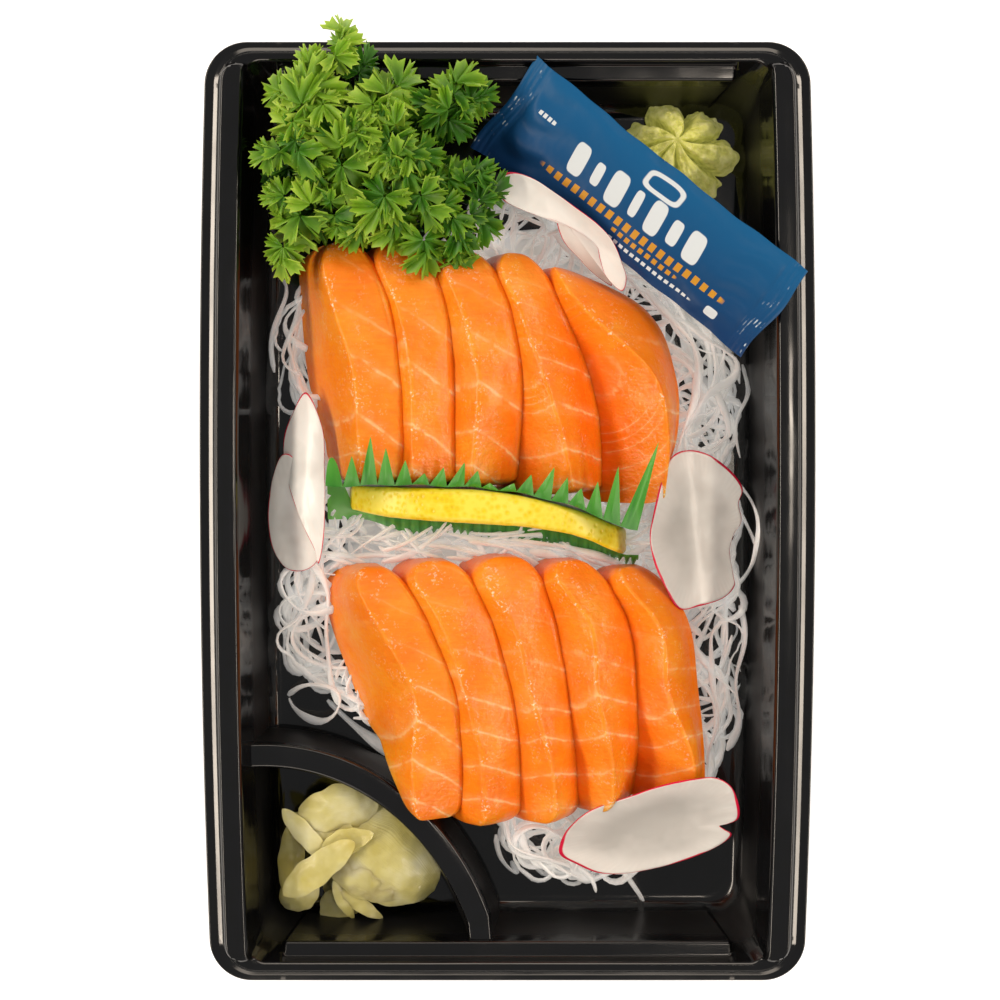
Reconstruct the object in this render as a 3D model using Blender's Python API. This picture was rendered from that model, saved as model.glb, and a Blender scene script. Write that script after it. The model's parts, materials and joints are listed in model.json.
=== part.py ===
"""Salmon sashimi tray: a black thermoformed tray with two fanned rows of salmon on daikon noodles,
a lemon wedge between sheets of green plastic grass, radish slices, parsley, wasabi, pickled ginger
and a sachet of soy sauce.

Every dimension below is in millimetres, and make_solid() turns it to metres. The origin is the
middle of the tray's underside, +Y runs along the tray's length and +Z is up.
"""

import math
import random

import bmesh
import bpy
from mathutils import Vector
from mathutils.bvhtree import BVHTree

MM = 0.001
GAP = 0.35  # clearance kept between neighbours that touch in the real tray

# Tray
TRAY_HALF_WIDTH = 77.9  # at mid-length
TRAY_HALF_LENGTH = 118.8
TRAY_BOW = 1.9  # how far each long side bows out at mid-length
TRAY_CORNER_RADIUS = 11.0
SHEET = 0.6
SKIRT_FOOT_Z = 19.6
LIP_Z = 22.6
LAND_Z = 24.4  # the flat frame that carries the bars
BAR_Z = 27.5
BAR_END_Y = 113.8
LEDGE_Z = 20.5
LEDGE_HALF_WIDTH = 56.4
LEDGE_END_RUN = 1.4
WALL_FOOT_Z = 3.2
DIVIDER_Z = 18.6
DIVIDER_HALF_WIDTH = 2.9
DIVIDER_CORNER = (-62.0, -61.6)  # where the divider's middle line leaves the long wall
DIVIDER_REACH = (59.0, 68.0)  # semi-axes of the quarter ellipse it follows
DIVIDER_END_TURN = 69.0

# Daikon noodle bed
BED_TOP_Z = 6.6
BED_OUTLINE = (
    (-47, 67), (-58, 52), (-58, 30), (-52, 8), (-59, -16), (-59, -37), (-43, -53), (-23, -63),
    (-7, -79), (6, -94), (32, -96.5), (48, -83), (59, -60), (61, -28), (58, 6), (60, 36),
    (45, 58), (22, 74), (2, 82), (-24, 71),
)
NOODLE_RADIUS = 1.05

# Salmon rows. Each seam is the right-hand upper edge of a slice, given at its back, middle and front,
# and each strip is how much of the next slice's broad cut face shows beyond that seam.
SLICE_FOOT_Z = 7.3
UPPER_ROW = {
    "seams": ((-50.5, -51.5, -46.0), (-34.0, -26.6, -26.4), (-19.0, -12.6, -12.8),
              (-5.0, 3.6, 2.8), (9.0, 21.5, 24.5), (8.0, 43.8, 36.5)),
    "strips": ((5.0, 11.5, 9.0), (1.4, 2.0, 2.6), (2.4, 5.2, 4.2), (1.6, 5.0, 13.0),
               (3.0, 11.0, 13.0)),
    "backs": (68.8, 68.2, 66.0, 65.0, 60.4),
    "fronts": (11.8, 10.4, 9.4, 7.4, 2.8),
    "crests": (28.0, 28.6, 29.0, 28.4, 26.5),
    "front_droops": (4.0, 4.0, 4.0, 4.0, 5.0),
    "perched_fronts": (0.0, 0.0, 0.0, 0.0, 0.0),
    "outer_edge_z": 15.0,
}
LOWER_ROW = {
    "seams": ((-46.5, -39.0, -25.5), (-28.0, -14.6, -11.4), (-11.6, 0.0, 3.8),
              (7.6, 13.6, 18.2), (23.0, 32.2, 33.4), (37.5, 48.0, 50.5)),
    "strips": ((7.0, 14.0, 4.0), (1.2, 1.6, 5.6), (1.2, 3.4, 8.6), (1.2, 8.4, 9.4),
               (2.0, 8.0, 13.0)),
    "backs": (-16.0, -13.8, -12.4, -13.6, -15.2),
    "fronts": (-77.0, -79.0, -78.6, -76.0, -73.0),
    "crests": (28.2, 29.0, 29.4, 29.0, 27.0),
    "front_droops": (1.5, 3.5, 5.0, 7.5, 7.5),
    "perched_fronts": (12.6, 0.0, 0.0, 0.0, 0.0),  # the first slice's end lies on the divider
    "outer_edge_z": 17.0,
}
SLICE_STATION_PITCH = 8.0
SLICE_END_ROUND = 5.0
SLICE_SIDE_GAP = 0.36

# Lemon wedge and plastic grass: both follow one shallow arc across the tray
LEMON_MIDDLE = (-4.6, 0.6)
LEMON_TURN = -9.5  # degrees about +Z
LEMON_HALF_LENGTH = 36.5
LEMON_HEIGHT = 21.5
LEMON_FOOT_Z = 8.4
LEMON_THICKNESS = 9.2
LEMON_SAG = 2.4
GRASS_THICKNESS = 0.5

# Small things
WASABI_CENTRE = (43.0, 91.0)
WASABI_RADII = (15.0, 13.0)
WASABI_HEIGHT = 15.0
WASABI_LOBES = 7
GINGER_CENTRE = (-41.0, -89.5)
PARSLEY_CENTRE = (-34.0, 87.0)
PARSLEY_SPREAD_CENTRE = (-33.0, 93.0)  # the leaves spill out past the end of the tray
PARSLEY_SPREAD = 31.0
PACKET_SIZE = (86.0, 27.0)  # in plan
PACKET_CENTRE = (33.0, 77.1)
PACKET_TURN = -38.5  # degrees about +Z
PACKET_END_Z = (19.3, 29.2)  # it leans on the bed at its left-hand end and on the bar at the other
PACKET_END_TILTS = (0.42, 0.07)
PACKET_BULGE = 3.1
RADISH_THICKNESS = 1.1

# Colours: base colour, roughness
BLACK_PLASTIC = ((0.008, 0.008, 0.009), 0.12)
DAIKON = ((0.72, 0.70, 0.66), 0.35)
SALMON = ((0.95, 0.27, 0.05), 0.3)
LEMON_PEEL = ((0.90, 0.70, 0.04), 0.4)
GREEN_PLASTIC = ((0.07, 0.30, 0.04), 0.3)
RADISH = ((0.85, 0.78, 0.76), 0.3)
PARSLEY = ((0.20, 0.42, 0.03), 0.5)
PACKET_BLUE = ((0.01, 0.10, 0.30), 0.35)
WASABI = ((0.45, 0.46, 0.14), 0.6)
GINGER = ((0.75, 0.68, 0.28), 0.35)


def clear_scene():
    for obj in list(bpy.data.objects):
        bpy.data.objects.remove(obj, do_unlink=True)


def material(name, finish):
    colour, roughness = finish
    made = bpy.data.materials.new(name)
    made.use_nodes = True
    shader = made.node_tree.nodes["Principled BSDF"]
    shader.inputs["Base Color"].default_value = (*colour, 1.0)
    shader.inputs["Roughness"].default_value = roughness
    return made


def make_solid(name, points, faces, finish=None, helper=False):
    """A mesh object from points in millimetres, with its faces turned outwards."""
    mesh = bpy.data.meshes.new(name)
    mesh.from_pydata([Vector(point) * MM for point in points], [], faces)
    shape = bmesh.new()
    shape.from_mesh(mesh)
    bmesh.ops.remove_doubles(shape, verts=shape.verts, dist=1e-6)
    bmesh.ops.recalc_face_normals(shape, faces=shape.faces)
    if shape.calc_volume(signed=True) < 0 and not any(edge.is_boundary for edge in shape.edges):
        bmesh.ops.reverse_faces(shape, faces=shape.faces)
    shape.to_mesh(mesh)
    shape.free()
    obj = bpy.data.objects.new(name, mesh)
    bpy.context.scene.collection.objects.link(obj)
    if finish:
        obj.data.materials.append(material(name, finish))
    if helper:
        obj.hide_render = True
        obj.display_type = "WIRE"
    return obj


def smoothstep(low, high, value):
    t = min(max((value - low) / (high - low), 0.0), 1.0)
    return t * t * (3 - 2 * t)


def mix(a, b, t):
    return a + (b - a) * t


def three_point_curve(values, t):
    """The smooth curve through a value at the back, the middle and the front."""
    back, middle, front = values
    return back * (1 - t) * (1 - 2 * t) + middle * 4 * t * (1 - t) + front * t * (2 * t - 1)


def closed_curve(points, steps):
    """A closed Catmull-Rom curve with that many steps between neighbouring points."""
    count = len(points)
    curve = []
    for index in range(count):
        before, start, end, after = (Vector(points[(index + k - 1) % count]) for k in range(4))
        for step in range(steps):
            t = step / steps
            curve.append(0.5 * ((2 * start) + (end - before) * t
                                + (2 * before - 5 * start + 4 * end - after) * t ** 2
                                + (3 * start - before - 3 * end + after) * t ** 3))
    return curve


def loft(loops, closed_ends=True):
    """Faces that join loops of equal length, each with the next, and cap the first and the last."""
    count = len(loops[0])
    points = [point for loop in loops for point in loop]
    faces = []
    for row in range(len(loops) - 1):
        for k in range(count):
            after = (k + 1) % count
            faces.append((row * count + k, row * count + after,
                          (row + 1) * count + after, (row + 1) * count + k))
    if closed_ends:
        faces.append(tuple(range(count)))
        faces.append(tuple(range((len(loops) - 1) * count, len(loops) * count)))
    return points, faces


def grid_normals(grid):
    rows, columns = len(grid), len(grid[0])
    normals = []
    for i in range(rows):
        line = []
        for j in range(columns):
            along = grid[min(i + 1, rows - 1)][j] - grid[max(i - 1, 0)][j]
            across = grid[i][min(j + 1, columns - 1)] - grid[i][max(j - 1, 0)]
            line.append(along.cross(across).normalized())
        normals.append(line)
    return normals


def sheet_mesh(grid, thickness):
    """A thin closed solid on both sides of a grid of points, with both faces split alike."""
    grid = [[Vector(point) for point in line] for line in grid]
    normals = grid_normals(grid)
    rows, columns = len(grid), len(grid[0])
    points = []
    for side in (0.5, -0.5):
        for i in range(rows):
            for j in range(columns):
                points.append(grid[i][j] + normals[i][j] * thickness * side)
    below = rows * columns
    faces = []
    for i in range(rows - 1):
        for j in range(columns - 1):
            a, b = i * columns + j, i * columns + j + 1
            c, d = b + columns, a + columns
            faces += [(a, b, c), (a, c, d), (below + a, below + c, below + b),
                      (below + a, below + d, below + c)]
    rim = ([j for j in range(columns)]
           + [i * columns + columns - 1 for i in range(1, rows)]
           + [(rows - 1) * columns + j for j in range(columns - 2, -1, -1)]
           + [i * columns for i in range(rows - 2, 0, -1)])
    for k, here in enumerate(rim):
        there = rim[(k + 1) % len(rim)]
        faces.append((here, there, below + there, below + here))
    return points, faces


def disc_mesh(place, rings, sides, thickness):
    """A thin closed round solid. place(r, angle) gives its middle surface, with r from 0 to 1."""
    points, faces = [], []
    step = 0.02
    for side in (0.5, -0.5):
        for ring in range(rings + 1):
            for k in range(sides if ring else 1):
                r, angle = ring / rings, math.tau * k / sides
                x, y = r * math.cos(angle), r * math.sin(angle)

                def at(u, v):
                    return Vector(place(math.hypot(u, v), math.atan2(v, u)))

                across = at(x + step, y) - at(x - step, y)
                along = at(x, y + step) - at(x, y - step)
                points.append(at(x, y) + across.cross(along).normalized() * thickness * side)
    below = len(points) // 2
    for k in range(sides):
        after = (k + 1) % sides
        faces += [(0, 1 + k, 1 + after), (below, below + 1 + after, below + 1 + k)]
        for ring in range(1, rings):
            a, b = 1 + (ring - 1) * sides + k, 1 + (ring - 1) * sides + after
            c, d = b + sides, a + sides
            faces += [(a, d, c), (a, c, b), (below + a, below + c, below + d),
                      (below + a, below + b, below + c)]
        last = 1 + (rings - 1) * sides
        faces.append((last + k, last + after, below + last + after, below + last + k))
    return points, faces


def tube_mesh(path, radius, sides):
    """A closed tube along a path, thinner at its two ends."""
    loops = []
    for index, here in enumerate(path):
        ahead = path[min(index + 1, len(path) - 1)]
        behind = path[max(index - 1, 0)]
        forward = (ahead - behind).normalized()
        aside = forward.cross(Vector((0, 0, 1))).normalized()
        upward = aside.cross(forward)
        reach = radius * (0.55 if index in (0, len(path) - 1) else 1.0)
        loops.append([here + (aside * math.cos(math.tau * k / sides)
                              + upward * math.sin(math.tau * k / sides)) * reach
                      for k in range(sides)])
    return loft(loops)


def surface_tree(points, faces, swell=0.0):
    """A search tree of a piece's surface, moved outwards by swell."""
    points = [Vector(point) for point in points]
    shape = bmesh.new()
    made = [shape.verts.new(point) for point in points]
    for face in faces:
        shape.faces.new([made[k] for k in face])
    bmesh.ops.recalc_face_normals(shape, faces=shape.faces)
    if shape.calc_volume(signed=True) < 0:
        bmesh.ops.reverse_faces(shape, faces=shape.faces)
    shape.normal_update()
    for vertex in shape.verts:
        vertex.co += vertex.normal * swell
    tree = BVHTree.FromBMesh(shape)
    shape.free()
    return tree


def object_tree(obj):
    evaluated = obj.evaluated_get(bpy.context.evaluated_depsgraph_get())
    mesh = evaluated.to_mesh()
    points = [vertex.co / MM for vertex in mesh.vertices]
    faces = [tuple(polygon.vertices) for polygon in mesh.polygons]
    evaluated.to_mesh_clear()
    return BVHTree.FromPolygons(points, faces)


def stays_clear(piece, neighbours, margin=GAP):
    tree = surface_tree(*piece, swell=margin)
    return not any(tree.overlap(neighbour) for neighbour in neighbours)


def fuse(name, core, pieces, finish):
    """One solid from a core and the pieces that reach into it. A loose scrap is dropped, and a hollow
    that fusing seals is filled."""
    body = make_solid(name, *core, finish=finish)
    group = bpy.data.collections.new(name + "_pieces")
    bpy.context.scene.collection.children.link(group)
    for index, piece in enumerate(pieces):
        obj = make_solid(f"{name}_piece_{index}", *piece)
        bpy.context.scene.collection.objects.unlink(obj)
        group.objects.link(obj)
    union = body.modifiers.new("Union", "BOOLEAN")
    union.operation = "UNION"
    union.operand_type = "COLLECTION"
    union.collection = group
    union.solver = "MANIFOLD"
    fused = bpy.data.meshes.new_from_object(body.evaluated_get(bpy.context.evaluated_depsgraph_get()))
    body.modifiers.clear()
    body.data = fused
    for obj in list(group.objects):
        bpy.data.objects.remove(obj, do_unlink=True)
    bpy.data.collections.remove(group)
    keep_largest_shell(body)
    return body


def keep_largest_shell(body):
    shape = bmesh.new()
    shape.from_mesh(body.data)
    bmesh.ops.remove_doubles(shape, verts=shape.verts, dist=2e-6)
    bmesh.ops.dissolve_degenerate(shape, edges=shape.edges, dist=2e-6)
    waiting = set(shape.verts)
    shells = []
    while waiting:
        stack = [waiting.pop()]
        shell = set(stack)
        while stack:
            for edge in stack.pop().link_edges:
                for vertex in edge.verts:
                    if vertex in waiting:
                        waiting.discard(vertex)
                        shell.add(vertex)
                        stack.append(vertex)
        shells.append(shell)
    largest = max(shells, key=len)
    bmesh.ops.delete(shape, geom=[v for v in shape.verts if v not in largest], context="VERTS")
    shape.to_mesh(body.data)
    shape.free()


def half_width_at(y):
    return TRAY_HALF_WIDTH - TRAY_BOW * (y / 110.0) ** 2


def tray_loop(inset_long, inset_end, ledge_inset, radius, z_long, z_end, z_ledge):
    """One ring of the tray: its four sides, with the ledges in the middle of the two ends."""
    half_length = TRAY_HALF_LENGTH - inset_end
    straight = half_length - radius
    long_side = [straight * f for f in (-1, -0.96, -0.7, -0.35, 0, 0.35, 0.7, 0.96, 1)]
    end_width = half_width_at(straight) - inset_long - radius
    ledge_edge = min(LEDGE_HALF_WIDTH, end_width - LEDGE_END_RUN - 0.3)
    loop = []
    for turn in (1, -1):
        for y in long_side:
            bar = 1 - smoothstep(BAR_END_Y - 5, BAR_END_Y, abs(y))
            loop.append((turn * (half_width_at(y) - inset_long), turn * y, mix(z_end, z_long, bar)))
        for k in range(1, 5):
            angle = math.radians(90 * k / 5)
            x = end_width + radius * math.cos(angle)
            y = straight + radius * math.sin(angle)
            bar = 1 - smoothstep(BAR_END_Y - 5, BAR_END_Y, y)
            loop.append((turn * x, turn * y, mix(z_end, z_long, bar)))
        loop.append((turn * (ledge_edge + LEDGE_END_RUN), turn * half_length, z_end))
        for x in (ledge_edge, 0, -ledge_edge):
            loop.append((turn * x, turn * (TRAY_HALF_LENGTH - ledge_inset), z_ledge))
        loop.append((-turn * (ledge_edge + LEDGE_END_RUN), turn * half_length, z_end))
        for k in range(4, 0, -1):
            angle = math.radians(90 * k / 5)
            x = end_width + radius * math.cos(angle)
            y = straight + radius * math.sin(angle)
            bar = 1 - smoothstep(BAR_END_Y - 5, BAR_END_Y, y)
            loop.append((-turn * x, turn * y, mix(z_end, z_long, bar)))
    return loop


def tray_loops():
    """The rings of the tray's upper surface, from the foot of the skirt to the floor."""
    return [
        tray_loop(0.0, 0.0, 0.0, TRAY_CORNER_RADIUS, SKIRT_FOOT_Z, SKIRT_FOOT_Z, SKIRT_FOOT_Z),
        tray_loop(0.3, 0.3, 0.3, 10.7, LIP_Z, LIP_Z, LIP_Z),
        tray_loop(2.1, 2.0, 2.0, 9.0, LIP_Z + 0.6, LIP_Z + 0.6, LIP_Z + 0.6),
        tray_loop(4.5, 2.9, 2.9, 8.0, BAR_Z - 0.5, LAND_Z, LAND_Z),
        tray_loop(5.3, 3.3, 3.3, 7.4, BAR_Z, LAND_Z, LAND_Z),
        tray_loop(9.7, 4.7, 4.7, 4.6, BAR_Z, LAND_Z, LAND_Z),
        tray_loop(10.5, 5.3, 5.3, 4.0, BAR_Z - 0.8, LAND_Z - 0.4, LAND_Z - 0.4),
        tray_loop(11.7, 6.9, 6.0, 4.4, LEDGE_Z, LEDGE_Z, LEDGE_Z),
        tray_loop(12.4, 8.2, 9.6, 5.0, 17.0, 17.4, LEDGE_Z - 0.3),
        tray_loop(15.3, 13.9, 14.1, 7.6, WALL_FOOT_Z, WALL_FOOT_Z, WALL_FOOT_Z),
        tray_loop(17.4, 16.2, 16.2, 7.2, SHEET, SHEET, SHEET),
    ]


def divider_mesh(half_width, top_z, foot_z, flare, wall_reach):
    """The curved divider round the ginger pocket, as a solid of trapezoid section. wall_reach is how
    far its two ends run into the tray's walls."""
    steps = 12
    start_turn = -3.0
    loops = []
    for k in range(steps + 1):
        turn = math.radians(mix(start_turn, DIVIDER_END_TURN, k / steps))
        x = DIVIDER_CORNER[0] + DIVIDER_REACH[0] * math.sin(turn)
        y = DIVIDER_CORNER[1] - DIVIDER_REACH[1] * (1 - math.cos(turn))
        aside = Vector((DIVIDER_REACH[1] * math.sin(turn), DIVIDER_REACH[0] * math.cos(turn), 0))
        aside.normalize()
        loop = []
        for side, z in ((-1, foot_z), (-1, top_z), (1, top_z), (1, foot_z)):
            reach = half_width + (flare * (top_z - z))
            px, py = x + aside.x * side * reach, y + aside.y * side * reach
            if k == 0:
                px = -(half_width_at(py) - 15.3 + (z - WALL_FOOT_Z) * 0.212 + wall_reach)
            if k == steps:
                py = -(TRAY_HALF_LENGTH - 14.1 + (z - WALL_FOOT_Z) * 0.26 + wall_reach)
            loop.append((px, py, z))
        loops.append(loop)
    return loft(loops)


def build_tray():
    """A thin sheet drawn into one deep pocket, with a hollow divider round the ginger."""
    points, faces = loft(tray_loops(), closed_ends=False)
    per_loop = len(tray_loops()[0])
    floor = tuple(range(len(points) - per_loop, len(points)))
    mesh = bpy.data.meshes.new("tray")
    mesh.from_pydata([Vector(point) * MM for point in points], [], [*faces, floor])
    shape = bmesh.new()
    shape.from_mesh(mesh)
    bmesh.ops.recalc_face_normals(shape, faces=shape.faces)
    if max(shape.faces, key=lambda face: face.calc_area()).normal.z < 0:
        bmesh.ops.reverse_faces(shape, faces=shape.faces)
    bmesh.ops.triangulate(shape, faces=shape.faces)
    shape.to_mesh(mesh)
    shape.free()
    tray = bpy.data.objects.new("tray", mesh)
    bpy.context.scene.collection.objects.link(tray)
    mesh.materials.append(material("tray", BLACK_PLASTIC))
    wall = tray.modifiers.new("Sheet", "SOLIDIFY")
    wall.thickness = SHEET * MM
    wall.offset = -1
    ridge = make_solid("divider_form", *divider_mesh(DIVIDER_HALF_WIDTH, DIVIDER_Z, SHEET / 2, 0.16,
                                                     SHEET / 2), helper=True)
    hollow = make_solid("divider_hollow", *divider_mesh(DIVIDER_HALF_WIDTH - SHEET, DIVIDER_Z - SHEET,
                                                        -1.5, 0.16, -0.8), helper=True)
    for operation, tool in (("UNION", ridge), ("DIFFERENCE", hollow)):
        step = tray.modifiers.new(operation.title(), "BOOLEAN")
        step.operation = operation
        step.object = tool
        step.solver = "EXACT"
    return tray


def spine_point(x, y):
    return Vector((0.0, min(max(y * 0.6, -55.0), 45.0)))


def bed_core():
    """The low mound that the noodles form, flat on top where the salmon lies."""
    outline = closed_curve(BED_OUTLINE, 2)
    loops = []
    for scale, z in ((0.97, SHEET + GAP), (1.0, 2.4), (0.955, 4.8), (0.88, BED_TOP_Z)):
        loop = []
        for point in outline:
            middle = spine_point(*point)
            place = middle + (point - middle) * scale
            loop.append((place.x, place.y, z))
        loops.append(loop)
    return loft(loops)


def noodle_paths(rng):
    """Loose noodles that wander round the edge of the bed."""
    outline = closed_curve(BED_OUTLINE, 6)
    count = len(outline)
    for start in range(0, count, 4):
        index = (start + rng.randrange(3)) % count
        inward = rng.uniform(0.86, 1.0)
        swing = rng.uniform(0.02, 0.055)
        phase = rng.uniform(0, math.tau)
        steps = 9
        path = []
        for k in range(steps):
            point = outline[(index + round(k * 2.6)) % count]
            middle = spine_point(*point)
            scale = inward + swing * math.sin(phase + k * 0.85)
            place = middle + (point - middle) * scale
            lift = smoothstep(1.0, 0.88, scale) * (BED_TOP_Z - 2.2)
            path.append(Vector((place.x, place.y, 2.5 + lift + 0.4 * math.sin(phase + k * 1.7))))
        yield path


def build_bed(neighbours):
    rng = random.Random(11)
    pieces = []
    for path in noodle_paths(rng):
        for length in (len(path), 7, 5):
            noodle = tube_mesh(path[:length], NOODLE_RADIUS, 4)
            if stays_clear(noodle, neighbours):
                pieces.append(noodle)
                break
    return fuse("daikon_noodles", bed_core(), pieces, DAIKON)


def row_edges(row, k, t):
    """At one station along a slice: the seam to its left, its ridge, and the seam to its right."""
    left = three_point_curve(row["seams"][k], t)
    ridge = left + three_point_curve(row["strips"][k], t)
    right = three_point_curve(row["seams"][k + 1], t)
    return left, ridge, right


def seam_z(row, k, t):
    """Height of the seam to the left of slice k: the wider the strip beyond it, the deeper it lies."""
    if k == 0:
        return SLICE_FOOT_Z + 4.5
    if k == len(row["backs"]):
        return row["outer_edge_z"]
    strip = three_point_curve(row["strips"][k], t)
    return crest_z(row, k, t) - 2.2 - 0.55 * strip


def crest_z(row, k, t):
    """Height of a slice's ridge, which droops towards its two ends."""
    return (row["crests"][k] - 2.2 * (1 - smoothstep(0.0, 0.2, t))
            - row["front_droops"][k] * smoothstep(0.6, 1.0, t))


def foot_z(row, k, t):
    """Height of a slice's underside."""
    return SLICE_FOOT_Z + row["perched_fronts"][k] * smoothstep(0.62, 0.84, t)


def slice_section(row, k, t):
    """The outline of slice k across its length: a leaning slab with a crisp upper ridge."""
    left, ridge, right = row_edges(row, k, t)
    crest, foot = crest_z(row, k, t), foot_z(row, k, t)
    left_z, right_z = max(seam_z(row, k, t), foot + 0.8), seam_z(row, k + 1, t)
    lean_left = 5.5 if k else 2.5
    lean_right = 5.5 if k < 4 else 1.5
    side = SLICE_SIDE_GAP
    return [
        (left - lean_left * (left_z - foot) / (left_z - SLICE_FOOT_Z) + side, foot),
        (left + side, left_z),
        (mix(left, ridge, 0.55) + side, mix(left_z, crest, 0.66)),
        (ridge, crest),
        (mix(ridge, right, 0.45), mix(crest, right_z, 0.32)),
        (right - 1.2 - side, right_z + 0.6),
        (right - side, right_z - 0.6),
        (right - lean_right * (right_z - foot) / (right_z - SLICE_FOOT_Z) - side, foot),
    ]


def slice_stations(row, k):
    """The places along slice k that get a section. Slices side by side share those in the middle."""
    back, front = row["backs"][k], row["fronts"][k]
    shared = [max(row["backs"]) - SLICE_STATION_PITCH * n for n in range(1, 9)]
    inner = [y for y in shared if front + SLICE_END_ROUND < y < back - SLICE_END_ROUND]
    return [back, back - 0.6, back - 2.2, back - SLICE_END_ROUND, *inner,
            front + SLICE_END_ROUND, front + 2.2, front + 0.6, front]


def slice_mesh(row, k):
    row_back, row_front = max(row["backs"]), min(row["fronts"])
    loops = []
    for y in slice_stations(row, k):
        t = (row_back - y) / (row_back - row_front)
        section = slice_section(row, k, t)
        middle_x = sum(x for x, _ in section) / len(section)
        middle_z = mix(section[0][1], max(z for _, z in section), 0.45)
        ending = min((row["backs"][k] - y) / SLICE_END_ROUND, (y - row["fronts"][k]) / SLICE_END_ROUND, 1)
        shrink = mix(0.62, 1.0, math.sqrt(1 - (1 - ending) ** 2))
        loops.append([(mix(middle_x, x, shrink), y, mix(middle_z, z, shrink)) for x, z in section])
    return loft(loops)


def build_salmon():
    slices = []
    for side, row in (("upper", UPPER_ROW), ("lower", LOWER_ROW)):
        for k in range(5):
            slices.append(make_solid(f"salmon_{side}_{k + 1}", *slice_mesh(row, k), finish=SALMON))
    return slices


def across_tray(along, offset, z):
    """A point by the lemon: along its middle arc, offset towards the back of the tray."""
    turn = math.radians(LEMON_TURN)
    bow = offset - LEMON_SAG * (along / LEMON_HALF_LENGTH) ** 2
    return (LEMON_MIDDLE[0] + along * math.cos(turn) - bow * math.sin(turn),
            LEMON_MIDDLE[1] + along * math.sin(turn) + bow * math.cos(turn), z)


def build_lemon():
    """A half slice of lemon that stands on its cut edge, rind upwards."""
    loops = []
    for k in range(15):
        angle = math.pi * k / 14
        along = -math.cos(angle)
        top = LEMON_FOOT_Z + max(LEMON_HEIGHT * math.sin(angle) ** 0.8, 0.8)
        half = LEMON_THICKNESS / 2 * (0.62 + 0.38 * math.sin(angle) ** 0.5)
        foot = LEMON_FOOT_Z
        reach = along * LEMON_HALF_LENGTH
        loops.append([across_tray(reach, -half, foot), across_tray(reach, half, foot),
                      across_tray(reach, half, top - 0.45 * half), across_tray(reach, half * 0.5, top),
                      across_tray(reach, -half * 0.5, top), across_tray(reach, -half, top - 0.45 * half)])
    return make_solid("lemon", *loft(loops), finish=LEMON_PEEL)


def grass_spikes(position, count, heights):
    """Height of a zigzag edge at a position from 0 to 1, with a spike for each step."""
    place = position * count
    index = min(int(place), count - 1)
    within = place - index
    tip = heights[index % len(heights)]
    return tip * (1 - abs(2 * within - 1))


def build_grass_back():
    """The standing sheet behind the lemon, cut into spikes along its top."""
    spikes = 17
    heights = (3.5, 12, 9, 8, 6.5, 4, 6, 8, 6, 7, 8, 7, 8, 9, 8, 10, 14)
    grid = [[], [], []]
    for k in range(2 * spikes + 1):
        position = k / (2 * spikes)
        along = mix(-43.5, 35.0, position)
        ripple = 0.35 * math.sin(k * 0.9)
        lean = smoothstep(0.9, 1.0, position) * 3.0
        rise = grass_spikes(position, spikes, heights) if k % 2 else 0.2
        base_back = LEMON_THICKNESS / 2 + 0.9 + ripple
        grid[0].append(across_tray(along, base_back, LEMON_FOOT_Z - 0.2))
        grid[1].append(across_tray(along + lean * 0.5, base_back + 1.0, 19.0))
        grid[2].append(across_tray(along + lean, base_back + 1.2 + rise * 0.1, 19.6 + rise))
    return make_solid("grass_back", *sheet_mesh(grid, GRASS_THICKNESS), finish=GREEN_PLASTIC)


def build_grass_front():
    """The flared sheet in front of the lemon, with a serrated right-hand end."""
    steps = 24
    grid = [[], [], []]
    for k in range(steps + 1):
        position = k / steps
        along = mix(-41.5, 33.0, position)
        wide = mix(7.2, 2.6, smoothstep(0.05, 0.35, position))
        teeth = (0.8 if k % 2 else 0.0) * smoothstep(0.6, 0.75, position)
        start = -LEMON_THICKNESS / 2 - 0.75
        ripple = 0.3 * math.sin(k * 1.3)
        grid[0].append(across_tray(along, start, LEMON_FOOT_Z - 0.1))
        grid[1].append(across_tray(along, start - wide * 0.5, LEMON_FOOT_Z + 2.6 + ripple))
        grid[2].append(across_tray(along, start - wide - teeth, LEMON_FOOT_Z + 3.6 + ripple))
    return make_solid("grass_front", *sheet_mesh(grid, GRASS_THICKNESS), finish=GREEN_PLASTIC)


def packet_point(u, v, side):
    """A point of the sachet's skin, with u and v from -1 to 1 and side +1 above or -1 below."""
    length, width = PACKET_SIZE[0] / 2, PACKET_SIZE[1] / 2
    turn = math.radians(PACKET_TURN)
    along = Vector((math.cos(turn), math.sin(turn), 0.0))
    across = Vector((-math.sin(turn), math.cos(turn), 0.0))
    rise = (PACKET_END_Z[1] - PACKET_END_Z[0]) / PACKET_SIZE[0]
    tilt = mix(*PACKET_END_TILTS, (u + 1) / 2)
    upward = (Vector((0, 0, 1)) - along * rise - across * tilt).normalized()
    pillow = max(1 - (abs(u) / 0.86) ** 2.6, 0.0) ** 0.6 * max(1 - v * v, 0.0) ** 0.7
    pull_in = 1 - 0.05 * max(1 - u * u, 0.0)
    thick = 0.3 + PACKET_BULGE * pillow * (1.0 if side > 0 else 0.8)
    middle = along * u * length + across * v * width * pull_in
    height = mix(*PACKET_END_Z, (u + 1) / 2) + v * width * tilt
    return Vector((*PACKET_CENTRE, height)) + middle + upward * side * thick


def build_packet():
    rows, columns = 6, 13
    stations = [-1 + 2 * j / (columns - 1) for j in range(columns)]
    loops = []
    for u in stations:
        loop = [packet_point(u, -1 + 2 * i / rows, 1) for i in range(rows + 1)]
        loop += [packet_point(u, 1 - 2 * i / rows, -1) for i in range(rows + 1)]
        loops.append(loop)
    return make_solid("soy_packet", *loft(loops), finish=PACKET_BLUE)


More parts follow.
